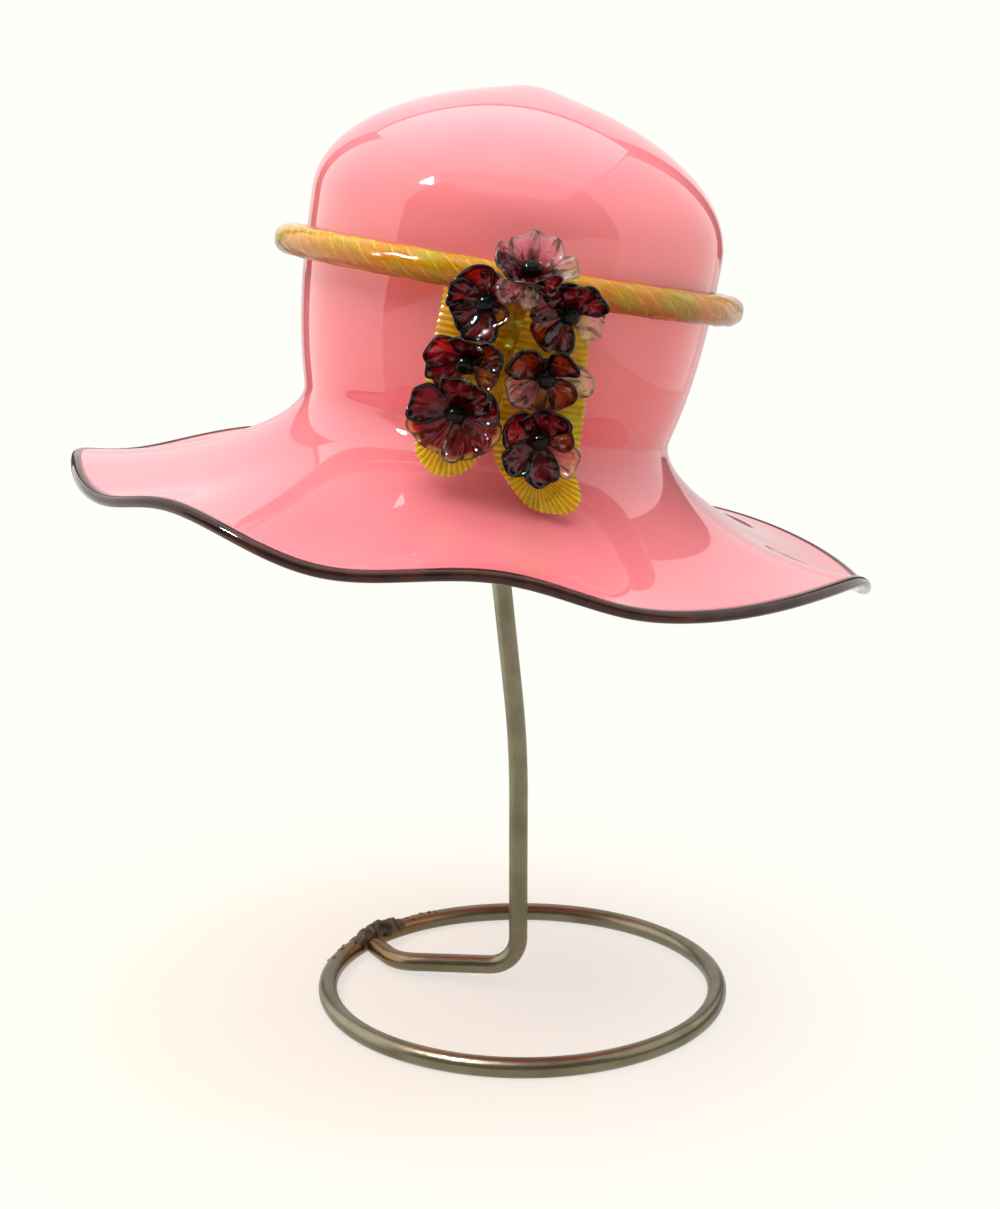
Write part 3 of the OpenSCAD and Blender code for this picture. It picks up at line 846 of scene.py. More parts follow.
# Spatter: first bearing and spread in degrees on each side of the weld, share on the left, place round the
# bar in degrees, distance from the bar's middle in bar radii, and smallest and largest radius
SPATTER_LEFT = (155, 16)
SPATTER_RIGHT = (131, -14)
SPATTER_SHARE = 0.6
SPATTER_UP = (35, 125)
SPATTER_SUNK = 0.96
SPATTER_R = (0.00035, 0.00075)
# Grid on which the weld's lumps are fused, height of its roughness, how far from its middle that fades, and
# the roughness itself: how close its bumps lie and their share of the height
WELD_GRID = 0.00032
WELD_ROUGH = 0.0007
WELD_REACH = 0.02
WELD_BUMPS = ((520.0, 0.55), (1300.0, 0.3))


def ball(centre, radius, rows, sides):
    """Small round bead: points and faces."""
    rings = [
        (circle(sides) * np.sin(t) + (0, 0, np.cos(t))) * radius + centre
        for t in np.arange(1, rows) / rows * np.pi
    ]
    return skin(np.array(centre) + (0, 0, radius), rings, np.array(centre) - (0, 0, radius))


def weld_bead(stand, finish):
    """Lumps of weld metal fused into one rough bead, with spatter on the ring beside it."""
    rod_r = stand.rod / 2
    parts = []
    for bearing, out, height, radius in WELD_BLOBS:
        centre = polar(stand.ring + out * rod_r, math.radians(bearing), height * rod_r)
        parts.append(ball(centre, radius * rod_r, 14, 20))
    rng = np.random.default_rng(7)
    for _ in range(stand.spatter):
        start, spread = SPATTER_LEFT if rng.random() < SPATTER_SHARE else SPATTER_RIGHT
        bearing = math.radians(start + spread * rng.random() ** 1.4)
        up = math.radians(rng.uniform(*SPATTER_UP))
        sunk = rod_r * SPATTER_SUNK
        z = rod_r - stand.ring_flat + sunk * math.sin(up)
        centre = polar(stand.ring + sunk * math.cos(up), bearing, z)
        parts.append(ball(centre, rng.uniform(*SPATTER_R), 8, 10))
    points, faces = gather(parts)
    piece = make_piece("weld_metal_bead", points, faces, finish, "stand", "weld", "weld_bead")
    fuse = piece.modifiers.new("fuse", "REMESH")
    fuse.mode = "VOXEL"
    fuse.voxel_size = WELD_GRID
    fuse.use_smooth_shade = True
    apply_modifiers(piece)
    centre = weld_place(stand)
    for v in piece.data.vertices:
        near = max(0.0, 1.0 - (v.co - centre).length / WELD_REACH)
        push = sum(noise.noise(v.co * close) * share for close, share in WELD_BUMPS)
        v.co += v.normal * (push * WELD_ROUGH * min(1.0, near * 3))
    piece.data.update()


def apply_modifiers(piece):
    """Fixes a piece's modifiers into its mesh."""
    evaluated = piece.evaluated_get(bpy.context.evaluated_depsgraph_get())
    mesh = bpy.data.meshes.new_from_object(evaluated)
    old = piece.data
    piece.modifiers.clear()
    piece.data = mesh
    mesh.name = old.name
    bpy.data.meshes.remove(old)
    mesh.polygons.foreach_set("use_smooth", [True] * len(mesh.polygons))


class HAT_OT_hat(bpy.types.Operator):
    """Blown hat with its ruffled brim, and the dark wrap along its lip"""

    bl_idname = "glass_hat.hat"
    bl_label = "Glass hat"

    def execute(self, context):
        settings = context.scene.glass_hat
        hat = settings.hat
        hat_glass(hat, pink_finish(settings.finish))
        lip_wrap(hat, lip_finish(settings.finish))
        return {"FINISHED"}


def hat_glass(hat, finish):
    """Crown and ruffled brim in one blown piece."""
    around = 300
    degrees = np.arange(around) * 360 / around
    f = np.radians(degrees)
    dome, wall, brim = 44, 26, 44
    points, outs = profile_rows(hat, dome, wall, brim)
    sides = []
    for depth in (0.0, hat.wall):
        rings = []
        for i, (p, out) in enumerate(zip(points, outs)):
            r, h = p - depth * out
            r = np.full(around, r)
            h = np.full(around, h)
            if i >= dome + wall:
                r *= brim_growth(hat, p[0], degrees)
                h += brim_lift(hat, p[0], degrees)
            rings.append(round_at(r, f, h) + (top_lean(hat, p[1]), 0, 0))
        sides.append(rings)
    outer, inner = sides
    top = np.array([top_lean(hat, hat.crown_h + hat.nub_h), 0, hat.crown_h + hat.nub_h])
    mesh = skin(top, outer + inner[::-1], top - (0, 0, hat.wall))
    hat_piece(hat, "hat_glass", mesh, finish, "pink_glass", "hat_shell")


def lip_wrap(hat, finish):
    """Round thread of dark glass laid along the brim's edge."""
    around = 480
    degrees = np.arange(around) * 360 / around
    f = np.radians(degrees)
    points, outs = profile_rows(hat, 4, 4, 44)
    edge, up = points[-1], outs[-1]
    out = np.array([up[1], -up[0]])
    middle = edge - up * hat.wall / 2
    r = hat.wall / 2 + hat.lip_over
    thin = r * 0.97
    bend = np.radians(np.arange(75, -76, -15))
    section = [(-hat.lip_lap, thin), (0.0, r), (hat.lip_flat, r)]
    section += [(hat.lip_flat + r * math.cos(a), r * math.sin(a)) for a in bend]
    section += [(hat.lip_flat, -r), (0.0, -r), (-hat.lip_lap, -thin), (-hat.lip_lap, 0.0)]
    lift = brim_lift(hat, hat.brim_r, degrees)
    growth = brim_growth(hat, hat.brim_r, degrees)
    rings = []
    for s, t in section:
        r, h = middle + out * s + up * t
        rings.append(round_at(r * growth, f, h + lift))
    hat_piece(hat, "lip_thread", loop(np.stack(rings, 1)), finish, "plum_brown_glass", "lip_wrap")


class HAT_OT_hatband(bpy.types.Operator):
    """Ring of twisted cane round the crown"""

    bl_idname = "glass_hat.hatband"
    bl_label = "Hatband"

    def execute(self, context):
        settings = context.scene.glass_hat
        hatband(settings.hat, settings.corsage, cane_finish(settings.finish))
        return {"FINISHED"}


def band_radius(hat, corsage):
    """Radius of the cane ring, just clear of the crown."""
    return crown_radius(hat, corsage.band_h) + corsage.band_d / 2 + 2 * corsage.bond


def hatband(hat, corsage, finish):
    """Cane with soft twisted ridges and steeper lines inside it, with painted shade underneath and on its
    right.
    """
    steps, sides = 1200, 48
    ring = band_radius(hat, corsage)
    f = turns(steps)
    a = -turns(sides)
    twist = BAND_RIDGES * a[None] + BAND_TURNS * f[:, None]
    ridge = 0.65 * np.cos(twist) + 0.35 * np.cos(3 * twist + 0.7)
    r = corsage.band_d / 2 - corsage.band_ridge / 2 * (1 - ridge)
    out = ring + r * np.cos(a)[None]
    z = corsage.band_h + r * np.sin(a)[None]
    rings = round_at(out, f[:, None], z)
    bearing, section, rise = np.radians(FLAT)
    face = np.array([np.cos(rise) * np.cos(bearing), np.cos(rise) * np.sin(bearing), np.sin(rise)])
    reach = ring + corsage.band_d / 2 * np.cos(section)
    middle = np.array([reach * np.cos(bearing), reach * np.sin(bearing), corsage.band_h])
    middle += (0, 0, corsage.band_d / 2 * np.sin(section))
    over = (rings - middle) @ face + corsage.band_flat
    rings = rings - np.maximum(over, 0)[:, :, None] * face
    inside = BAND_RIDGES * a[None] + LINE_TURNS * f[:, None]
    along = np.repeat(f[:, None] * 10, sides, 1)
    marks = np.stack([along, np.cos(inside), np.sin(inside)], 2).reshape(-1, 3)
    # Painted shade: the cane is darkened underneath and browned on its right, where less light falls
    depth = np.clip(0.5 - 0.5 * np.sin(a), 0, 1) ** 2
    under = 1 - depth[None, :, None] * (1 - np.array(BAND_UNDER_SHADE))
    right_shade_share = np.clip(0.5 + 0.7 * np.cos(f), 0, 1)[:, None, None]
    right_shade = 1 - right_shade_share * (1 - np.array(BAND_RIGHT_SHADE))
    colours = (under * right_shade).reshape(-1, 3)
    mesh = loop(rings)
    hat_piece(hat, "hatband_cane", mesh, finish, "amber_cane", "hatband", marks=marks, colours=colours)


class HAT_OT_leaves(bpy.types.Operator):
    """Three ribbed leaves that hang from the hatband"""

    bl_idname = "glass_hat.leaves"
    bl_label = "Leaves"

    def execute(self, context):
        settings = context.scene.glass_hat
        hat, corsage = settings.hat, settings.corsage
        finish = leaf_finish(settings.finish)
        drop = hang_height(corsage)
        front = face_place(hat, corsage)
        back = back_place(hat, corsage)
        for name, shape, width, tip in (
            ("left", LEFT_LEAF, corsage.leaf_left_w, LEFT_TIP),
            ("right", RIGHT_LEAF, corsage.leaf_right_w, RIGHT_TIP),
        ):
            reach = math.hypot(shape[1] * corsage.flower_r, front)
            long = drop - tip - brim_height(hat, reach)
            leaf(settings, name, shape, width, long, front, LEAF_LEAN, corsage.leaf_t, finish)
        thin = CENTRE_THIN * corsage.leaf_t
        leaf(settings, "centre", CENTRE_LEAF, corsage.leaf_centre_w, CENTRE_LONG, back, 0.0, thin, finish)
        return {"FINISHED"}


# Leaves: across at the top and at the tip as shares of the flower radius, share of a leaf's width at its
# top, share of its length at which it starts to round off, bluntness of its tip, and share of its length
# at which its spine ends
LEFT_LEAF = (-0.72, -0.76, 0.85, 0.8, 2.0, 0.72)
RIGHT_LEAF = (1.07, 1.52, 0.7, 0.62, 3.0, 0.82)
CENTRE_LEAF = (0.2, 0.2, 0.7, 0.62, 2.0, 0.7)
# Lean of the front leaves, heights of their tips over the brim, and the centre leaf's length and thinness
LEAF_LEAN = 0.14
LEFT_TIP = 0.009
RIGHT_TIP = 0.0042
CENTRE_LONG = 0.034
CENTRE_THIN = 0.7
# Distance of the centre leaf inside the cane's middle, and of the front leaves' faces outside it
BACK_SET = 0.0016
FACE_SET = 0.002
# Rows of points down a leaf and round its tip, and points across half of a face
LEAF_ROWS = 240
TIP_ROWS = 130
LEAF_ACROSS = 16
# Share of a leaf's length over which its spine settles, and the shares at which the leaf starts to swing
# aside and over which it does so
SPINE_SETTLE = 0.14
LEAF_SWING = (0.74, 0.24)
# Depth of the edge's scallops as a share of half the width, and depth and width share of the middle vein
LEAF_SCALLOP = 0.022
VEIN_DEPTH = 0.0005
VEIN_WIDE = 0.07


def back_place(hat, corsage):
    """Depth of the centre leaf's face."""
    return -(band_radius(hat, corsage) - BACK_SET)


def hang_height(corsage):
    """Height of the underside of the hatband, where the leaves start."""
    return corsage.band_h - corsage.band_d / 2 - corsage.bond


def face_place(hat, corsage):
    """Depth of the front leaves' faces at the height of the brim's middle."""
    return -(band_radius(hat, corsage) + FACE_SET) - LEAF_LEAN * hang_height(corsage)


def band_under(hat, corsage, x, y):
    """Height just under the hatband at a place beside or below it."""
    away = math.hypot(x, y) - band_radius(hat, corsage)
    return corsage.band_h - math.sqrt(max(0.0, (corsage.band_d / 2) ** 2 - away**2)) - corsage.bond


def leaf_tints(colours, share, u, wave, press, ramp):
    """Colours across a leaf at a share of its length: greener down it, paler at its tip, painted light on its
    ribs.
    """
    amber, olive, straw = (np.array(c) for c in (colours.amber, colours.olive, colours.straw))
    greener = np.clip(0.3 + 0.9 * share + 0.25 * u, 0, 1)[:, None]
    # Painted highlight on the ribs' crests
    rib_highlight_paint = np.clip(1.1 * press * (wave - 0.2) * ramp, 0, 1)[:, None]
    # Painted shade in the hollows between the ribs
    rib_shade_paint = np.clip(0.7 * press * (-0.1 - wave) * ramp, 0, 1)[:, None]
    pale = 0.75 * rising(share, 0.7, 0.15)
    base = mix(mix(amber, olive, greener), straw, pale)
    base = base * (1 - (0.65 - 0.4 * pale) * rib_shade_paint)
    return mix(base, straw, rib_highlight_paint)


def leaf(settings, name, shape, width, long, face, lean, thick, finish):
    """Hanging leaf with pressed ribs that run out to its scalloped edge and fan out round its tip."""
    hat, corsage = settings.hat, settings.corsage
    x0, x1 = shape[0] * corsage.flower_r, shape[1] * corsage.flower_r
    start, broad, blunt, focus = shape[2:]
    top = band_under(hat, corsage, x0, face + lean * hang_height(corsage) + thick / 2)
    turn = np.linspace(0, np.pi / 2, TIP_ROWS)
    upper = np.linspace(0, broad, LEAF_ROWS, endpoint=False)
    s = np.concatenate([upper, broad + (1 - broad) * np.sin(turn)])
    late = rising(s, broad, 1 - broad)
    swell = start + (1 - start) * np.sin(np.pi / 2 * np.minimum(1, s / broad))
    half = width / 2 * np.where(s < broad, swell, (1 - late**blunt) ** (1 / blunt))
    slow = focus - SPINE_SETTLE
    settled = slow + SPINE_SETTLE * (1 - np.exp(-np.maximum(0, s - slow) / SPINE_SETTLE))
    stay = np.where(s < slow, s, settled)

    def line(share):
        ease = rising(share, *LEAF_SWING)
        return np.stack([x0 + (x1 - x0) * ease * ease * (3 - 2 * ease), top - long * share], 1)

    spine, middle = line(stay), line(s)
    u = np.sin(np.linspace(-np.pi / 2, np.pi / 2, 2 * LEAF_ACROSS + 1))
    u = np.concatenate([u, u[-2:0:-1]])
    side = np.where(np.arange(len(u)) <= 2 * LEAF_ACROSS, -1.0, 1.0)
    far = np.abs(u)
    waves = {}
    edges = {}
    for hand in (-1, 1):
        edge = middle + hand * half[:, None] * np.array([1.0, 0.0])
        steps = np.linalg.norm(np.diff(edge, axis=0), axis=1)
        to_tip = np.append(np.cumsum(steps[::-1])[::-1], 0.0)
        edges[hand] = edge
        waves[hand] = np.cos(2 * np.pi * to_tip / corsage.rib_pitch)
    body = thick / 2 * np.sqrt(1 - far**2.4)
    ramp = rising(far, 0.08, 0.4) ** 0.7 * np.minimum(1, body / (thick / 5))
    vein = VEIN_DEPTH * np.exp(-((u / VEIN_WIDE) ** 2))
    rings, tints = [], []
    for i, share in enumerate(s):
        wave = np.where(u < 0, waves[-1][i], waves[1][i])
        edge = np.where((u < 0)[:, None], edges[-1][i], edges[1][i])
        flat = spine[i] + far[:, None] * (edge - spine[i]) * (1 + LEAF_SCALLOP * wave * far**6)[:, None]
        press = 0.35 + 0.65 * rising(share, 0.55, 0.3)
        depth = body - press * corsage.leaf_rib / 2 * (1 - wave) * ramp - vein
        depth = depth * min(1.0, 0.35 + 6 * share)
        y = face + lean * flat[:, 1] + thick / 2 + side * depth
        rings.append(np.stack([flat[:, 0], y, flat[:, 1]], 1))
        tints.append(leaf_tints(settings.finish, share, u, wave, press, ramp))
    mesh = skin(np.mean(rings[0], axis=0), rings)
    tints = np.vstack([tints[0][:1], *tints])
    hat_piece(hat, f"leaf_{name}_glass", mesh, finish, "amber_leaf", f"leaf_{name}", colours=tints)


# Flowers: across, height from the band and distance out from its ring as shares of the flower radius,
# turn to the right, turn up and radius share
FLOWERS = {
    "a": (0.36, 0.2, 1.05, -2, 33, 0.95),
    "b": (-0.39, -0.5, 0.46, -14, -8, 0.93),
    "c": (1.26, -0.45, 0.45, 13, -12, 0.95),
    "d": (-0.62, -1.73, 0.76, -14, -18, 0.96),
    "e": (-0.64, -2.76, 0.94, -10, -11, 1.04),
    "f": (1.0, -1.76, 0.64, 3, -17, 1.0),
    "g": (1.08, -3.05, 0.76, 3, -7, 0.96),
}
# Petals of each flower, the front ones of a flower in two rows last: bearing, length and half width as shares
# of the flower's radius, rise towards its front, and glass
PETALS = {
    "a": (
        (14, 1.04, 0.36, 0.05, "c"), (62, 0.76, 0.5, 0.5, "m"), (116, 0.74, 0.4, 0.45, "m"),
        (164, 0.84, 0.36, 0.3, "p"), (228, 0.86, 0.34, -0.3, "p"), (274, 0.72, 0.26, -0.4, "c"),
        (328, 0.74, 0.34, 0.1, "r"), (205, 0.76, 0.42, 0.8, "k"), (255, 0.62, 0.56, 0.75, "k"),
        (308, 0.56, 0.44, 0.85, "k"),
    ),
    "b": (
        (70, 0.74, 0.46, 0.3, "g"), (122, 0.86, 0.6, 0.34, "g"), (166, 0.84, 0.44, 0.42, "d"),
        (216, 0.8, 0.42, 0.36, "k"), (266, 0.86, 0.5, 0.3, "d"), (318, 0.6, 0.36, 0.15, "a"),
    ),
    "c": (
        (48, 0.8, 0.46, 0.42, "d"), (86, 0.74, 0.44, 0.48, "g"), (124, 0.78, 0.46, 0.36, "k"),
        (160, 0.94, 0.56, 0.3, "d"), (222, 0.94, 0.48, 0.12, "o"), (258, 0.84, 0.42, 0.2, "d"),
        (345, 0.8, 0.4, 0.1, "c"),
    ),
    "d": (
        (28, 0.96, 0.4, 0.3, "b"), (84, 0.66, 0.48, 0.5, "k"), (152, 0.86, 0.48, 0.42, "r"),
        (190, 0.84, 0.4, 0.28, "r"), (216, 0.86, 0.42, 0.12, "o"), (346, 0.78, 0.42, 0.05, "a"),
    ),
    "e": (
        (22, 0.94, 0.4, 0.26, "g"), (44, 0.9, 0.36, 0.46, "k"), (88, 0.86, 0.44, 0.5, "k"),
        (164, 0.94, 0.5, 0.42, "k"), (206, 0.98, 0.42, 0.22, "h"), (252, 0.92, 0.56, 0.12, "h"),
        (296, 0.92, 0.56, 0.1, "h"), (338, 0.98, 0.46, 0.14, "h"),
    ),
    "f": (
        (54, 0.76, 0.4, 0.45, "b"), (150, 0.9, 0.46, 0.42, "b"), (214, 0.86, 0.44, 0.2, "p"),
        (262, 0.74, 0.44, 0.02, "a"), (322, 0.78, 0.36, 0.1, "o"), (2, 0.98, 0.42, 0.08, "c"),
    ),
    "g": (
        (22, 0.72, 0.42, 0.3, "o"), (70, 0.78, 0.5, 0.44, "d"), (112, 0.66, 0.4, 0.36, "d"),
        (160, 0.84, 0.5, 0.28, "g"), (230, 0.92, 0.44, 0.32, "k"), (284, 0.96, 0.44, 0.28, "k"),
        (332, 1.0, 0.4, 0.2, "p"),
    ),
}
# Glass of a petal: its throat, its middle, the band along its rim, the line round it, where the throat's
# colour ends and where the band starts. The line round the rim is painted shade, for the dark that
# the rounded rim shows; the near-black bands are partly the thicker glass there and partly painted shade
PETAL_GLASS = {
    "k": ((96, 10, 12), (128, 16, 21), (18, 6, 8), (7, 4, 4), 0.15, 0.2),
    "d": ((112, 12, 17), (158, 24, 40), (36, 9, 14), (8, 4, 5), 0.15, 0.2),
    "g": ((124, 14, 17), (186, 34, 44), (80, 13, 20), (10, 5, 6), 0.15, 0.25),
    "h": ((120, 11, 16), (170, 34, 34), (240, 208, 140), (30, 12, 8), 0.15, 0.74),
    "r": ((140, 15, 25), (222, 50, 72), (110, 16, 25), (12, 5, 6), 0.15, 0.25),
    "o": ((130, 30, 13), (214, 96, 36), (130, 38, 17), (22, 8, 6), 0.15, 0.25),
    "a": ((140, 54, 14), (226, 152, 56), (150, 72, 24), (34, 13, 8), 0.15, 0.2),
    "b": ((84, 13, 11), (172, 66, 28), (16, 7, 7), (7, 4, 4), 0.15, 0.2),
    "m": ((150, 10, 54), (246, 184, 198), (250, 222, 222), (214, 160, 164), 0.25, 0.45),
    "p": ((160, 16, 50), (246, 164, 178), (246, 210, 202), (150, 80, 84), 0.22, 0.4),
    "c": ((200, 106, 92), (250, 232, 222), (246, 224, 208), (190, 150, 130), 0.15, 0.3),
}


def flower_place(hat, corsage, row):
    """Matrix that sets a flower, built facing +Z about the origin, in the corsage."""
    x, rise, out, turn, up, _ = row
    r = corsage.flower_r
    centre = Matrix.Translation((x * r, -band_radius(hat, corsage) - out * r, corsage.band_h + rise * r))
    turned = Matrix.Rotation(math.radians(turn), 4, "Z")
    return centre @ turned @ Matrix.Rotation(math.radians(90 - up), 4, "X")


# Points round a petal, rows in from its rim in rim radii, rows in its middle as shares of the way out from
# there, and the least such share of the rows near the rim
PETAL_SIDES = 72
RIM_ROWS = np.array([0.0, 0.06, 0.2, 0.42, 0.7, 1.0, 1.3, 1.7, 2.2])
MIDDLE_ROWS = (0.5, 0.3, 0.12)
RIM_LEAST = 0.62
# Share of the flower's radius at which a petal starts, depth of its folds, height of the frill along its rim,
# how far it is cupped, curls up at its end and may twist
PETAL_START = 0.08
PETAL_FOLD = 0.0006
PETAL_FRILL = 0.0009
PETAL_CUP = 0.42
PETAL_CURL = 0.1
PETAL_TWIST = 0.16


def petal_tints(glass, out, away):
    """Colours of a petal's points, from how far out they lie and how many rim radii they are from its rim."""
    throat, body, band, line = (np.array(tone(*c)) for c in PETAL_GLASS[glass][:4])
    deep, begin = PETAL_GLASS[glass][4:]
    colours = mix(throat, body, rising(out, deep, 0.45))
    # The band along the rim: thicker glass, and where it is near black, painted shade as well
    colours = mix(colours, band, rising(2.0 - away, 0, 0.7) * rising(out, begin, 0.2))
    # Painted shade: a dark line along the outermost half rim radius
    return mix(colours, line, rising(0.5 - away, 0, 0.3) * rising(out, 0.2, 0.3))


def petal(corsage, size, bearing, long, wide, rise, glass, rng):
    """One spoon-shaped petal with a rounded, ruffled rim and soft folds that run out from the throat."""
    n = PETAL_SIDES
    theta = turns(n)
    start = PETAL_START * size
    middle = (start + long) / 2
    edge_x = middle + (long - start) / 2 * np.cos(theta)
    edge_y = wide * np.sin(theta) * (0.82 + 0.34 * np.cos(theta))
    tip = 0.5 + 0.5 * np.cos(theta)
    lobes = rng.integers(4, 7)
    phase = rng.uniform(0, 6, 3)
    ripple = 1 + 0.03 * np.cos(3 * theta + phase[0]) + 0.035 * tip * np.cos(lobes * theta + phase[1])
    edge_x = middle + (edge_x - middle) * ripple
    edge_y = edge_y * ripple
    reach = np.hypot(edge_x - middle, edge_y)
    rim, thin = corsage.petal_rim, corsage.petal_thin
    folds = rng.integers(2, 4)
    twist = rng.uniform(-PETAL_TWIST, PETAL_TWIST)
    rows = [np.maximum(RIM_LEAST, 1 - d / reach) for d in RIM_ROWS * rim]
    rows += [np.full(n, share) for share in MIDDLE_ROWS]
    front, back, marks, shares = [], [], [], []
    for k in rows:
        away = (1 - k) * reach
        x = middle + k * (edge_x - middle)
        y = k * edge_y
        half = np.where(
            away < rim,
            np.sqrt(np.maximum(0, rim**2 - (rim - away) ** 2)),
            thin + (rim - thin) * np.exp(-(((away - rim) / (0.9 * rim)) ** 2)),
        )
        out = np.clip(x / long, 0, 1)
        fold = 1 - 2 * np.abs(np.cos(folds * np.pi / 2 * y / wide + phase[2]))
        fold = fold * out * np.clip(away / rim - 0.6, 0, 1)
        frill = tip * np.cos(lobes * theta + phase[1] + 1.2) * np.exp(-away / (2.5 * rim))
        z = rise * x + PETAL_CUP * y**2 / wide * out + PETAL_CURL * size * out**3 + twist * y * out
        z = z + PETAL_FOLD * fold + PETAL_FRILL * frill
        front.append(np.stack([x, y, z + half], 1))
        back.append(np.stack([x, y, z - half], 1))
        marks.append(np.stack([x / size, y / size, np.full(n, bearing)], 1))
        shares.append(np.stack([out, away / rim], 1))
    points, faces = skin(front[-1].mean(0), front[::-1] + back[1:], back[-1].mean(0))
    marks, shares = (np.vstack([v[-1][:1], *v[::-1], *v[1:], v[-1][:1]]) for v in (marks, shares))
    colours = petal_tints(glass, shares[:, :1], shares[:, 1:])
    c, s = math.cos(bearing), math.sin(bearing)
    turn = np.array([[c, s, 0], [-s, c, 0], [0, 0, 1]])
    return points @ turn, faces, marks, colours


class HAT_OT_flowers(bpy.types.Operator):
    """Seven lampworked flowers with black beads in their middles"""

    bl_idname = "glass_hat.flowers"
    bl_label = "Flowers"

    def execute(self, context):
        settings = context.scene.glass_hat
        glass, black = petal_finish(), bead_finish()
        for name in FLOWERS:
            flower(settings, name, glass)
            bead(settings, name, black)
        return {"FINISHED"}


# Radius of a flower's stub, roundness of its end and its tint, and the cup above it: widths as shares of the
# flower and depths
STUB_R = 0.0015
STUB_ROUND = 0.7
STUB_TINT = tone(58, 8, 12)
STUB_CUP = ((0.3, 0.0006), (0.34, 0.0013), (0.24, 0.0024))
CUP_TOP = 0.0003
CUP_END = 0.0034


def flower(settings, name, finish):
    """Overlapping petals round a throat, on a stub that runs back to the leaf or the hatband."""
    hat, corsage = settings.hat, settings.corsage
    row = FLOWERS[name]
    size = corsage.flower_r * row[5]
    rng = np.random.default_rng(ord(name))
    parts, marks, colours = [], [], []
    for bearing, long, wide, rise, glass in PETALS[name]:
        p, f, m, c = petal(corsage, size, math.radians(bearing), long * size, wide * size, rise, glass, rng)
        parts.append((p, f))
        marks.append(m)
        colours.append(c)
    ring = circle(20)
    back = -stub_length(hat, corsage, name)
    stub = [ring * share * size - (0, 0, depth) for share, depth in STUB_CUP]
    stub += [ring * STUB_R - (0, 0, CUP_END), ring * STUB_R + (0, 0, back)]
    stub += [ring * STUB_ROUND * STUB_R + (0, 0, back - STUB_ROUND * STUB_R)]
    p, f = skin((0, 0, -CUP_TOP), stub, (0, 0, back - STUB_R))
    parts.append((p, f))
    marks.append(np.zeros((len(p), 3)))
    colours.append(np.tile(STUB_TINT, (len(p), 1)))
    hat_piece(
        hat, f"flower_{name}_petals", gather(parts), finish, "garnet_glass", f"flower_{name}",
        place=flower_place(hat, corsage, row), marks=np.vstack(marks), colours=np.vstack(colours),
    )


def stub_length(hat, corsage, name):
    """Length of a flower's stub back to the front face of its leaf, or to the hatband for the top one."""
    row = FLOWERS[name]
    turn, up = math.radians(row[3]), math.radians(row[4])
    n = np.array([math.sin(turn) * math.cos(up), -math.cos(turn) * math.cos(up), math.sin(up)])
    c = np.array(flower_place(hat, corsage, row).translation)
    reach = STUB_R + corsage.bond
    if name == "a":
        ring = band_radius(hat, corsage)
        p = np.array([c[1] + math.sqrt(ring**2 - c[0] ** 2), c[2] - corsage.band_h])
        q = -n[1:] / np.linalg.norm(n[1:])
        b = p @ q
        total = corsage.band_d / 2 + reach
        return float((-b - math.sqrt(b * b - p @ p + total**2)) / np.linalg.norm(n[1:]))
    front = face_place(hat, corsage)
    gap = reach * math.sqrt(1 + LEAF_LEAN**2) + c[1] - front - LEAF_LEAN * c[2]
    return float(gap / (n[1] - LEAF_LEAN * n[2]))


# Dimple in a bead's top, and the droplets round its foot: their number, place out and up, and smallest and
# largest radius. All but the number are shares of the bead's radius
BEAD_DIMPLE = 0.12
DROPLETS = 5
DROPLET_OUT = 0.92
DROPLET_UP = 0.55
DROPLET_R = (0.28, 0.38)


def bead(settings, name, finish):
    """Round black bead with a slight dimple and small droplets round its foot."""
    hat, corsage = settings.hat, settings.corsage
    row = FLOWERS[name]
    r = corsage.bead_r
    rows, sides = 18, 28
    a = turns(sides)
    rng = np.random.default_rng(100 + ord(name))
    lean = rng.uniform(0, 2 * np.pi)
    rings = []
    for x in np.arange(1, rows) / rows * np.pi:
        wobble = 1 + 0.05 * np.cos(2 * a + lean) * np.sin(x) + 0.03 * np.cos(3 * a - lean) * np.sin(x)
        side = r * np.sin(x) * wobble
        top = r * np.cos(x) - BEAD_DIMPLE * r * np.exp(-((x / 0.45) ** 2))
        rings.append(round_at(side, a, top))
    points, faces = skin((0, 0, (1 - BEAD_DIMPLE) * r), rings, (0, 0, -r))
    parts = [(points + (0, 0, r + corsage.bond), faces)]
    for turn in turns(DROPLETS):
        bearing = lean + turn + rng.uniform(-0.2, 0.2)
        centre = polar(r * DROPLET_OUT, bearing, r * DROPLET_UP)
        parts.append(ball(centre, r * rng.uniform(*DROPLET_R), 8, 12))
    place = flower_place(hat, corsage, row)
    hat_piece(hat, f"bead_{name}_glass", gather(parts), finish, "black_glass", f"bead_{name}", place=place)


class HAT_OT_buds(bpy.types.Operator):
    """Two small green drops on stalks between the flowers"""

    bl_idname = "glass_hat.buds"
    bl_label = "Buds"

    def execute(self, context):
        settings = context.scene.glass_hat
        finish = bud_finish(settings.finish)
        for name, row in BUDS.items():
            bud(settings, name, *row, finish)
        return {"FINISHED"}


# Buds: across, drop from the band and distance out as shares of the flower radius, turn to the right and up
BUDS = {"upper": (0.31, 0.83, 0.6, 10, 0), "lower": (0.15, 1.24, 0.7, 0, -16)}
# Widths and heights down a bud's drop, heights of its point and of the stalk's start, and the stalk's width,
# all as shares of the bud's radius
BUD_SHAPE = (
    (0.3, 1.72), (0.52, 1.55), (0.7, 1.25), (0.86, 0.8),
    (0.98, 0.3), (0.99, -0.1), (0.86, -0.5), (0.62, -0.85),
)
BUD_POINT = 1.82
STALK_START = -1.15
STALK = 0.5


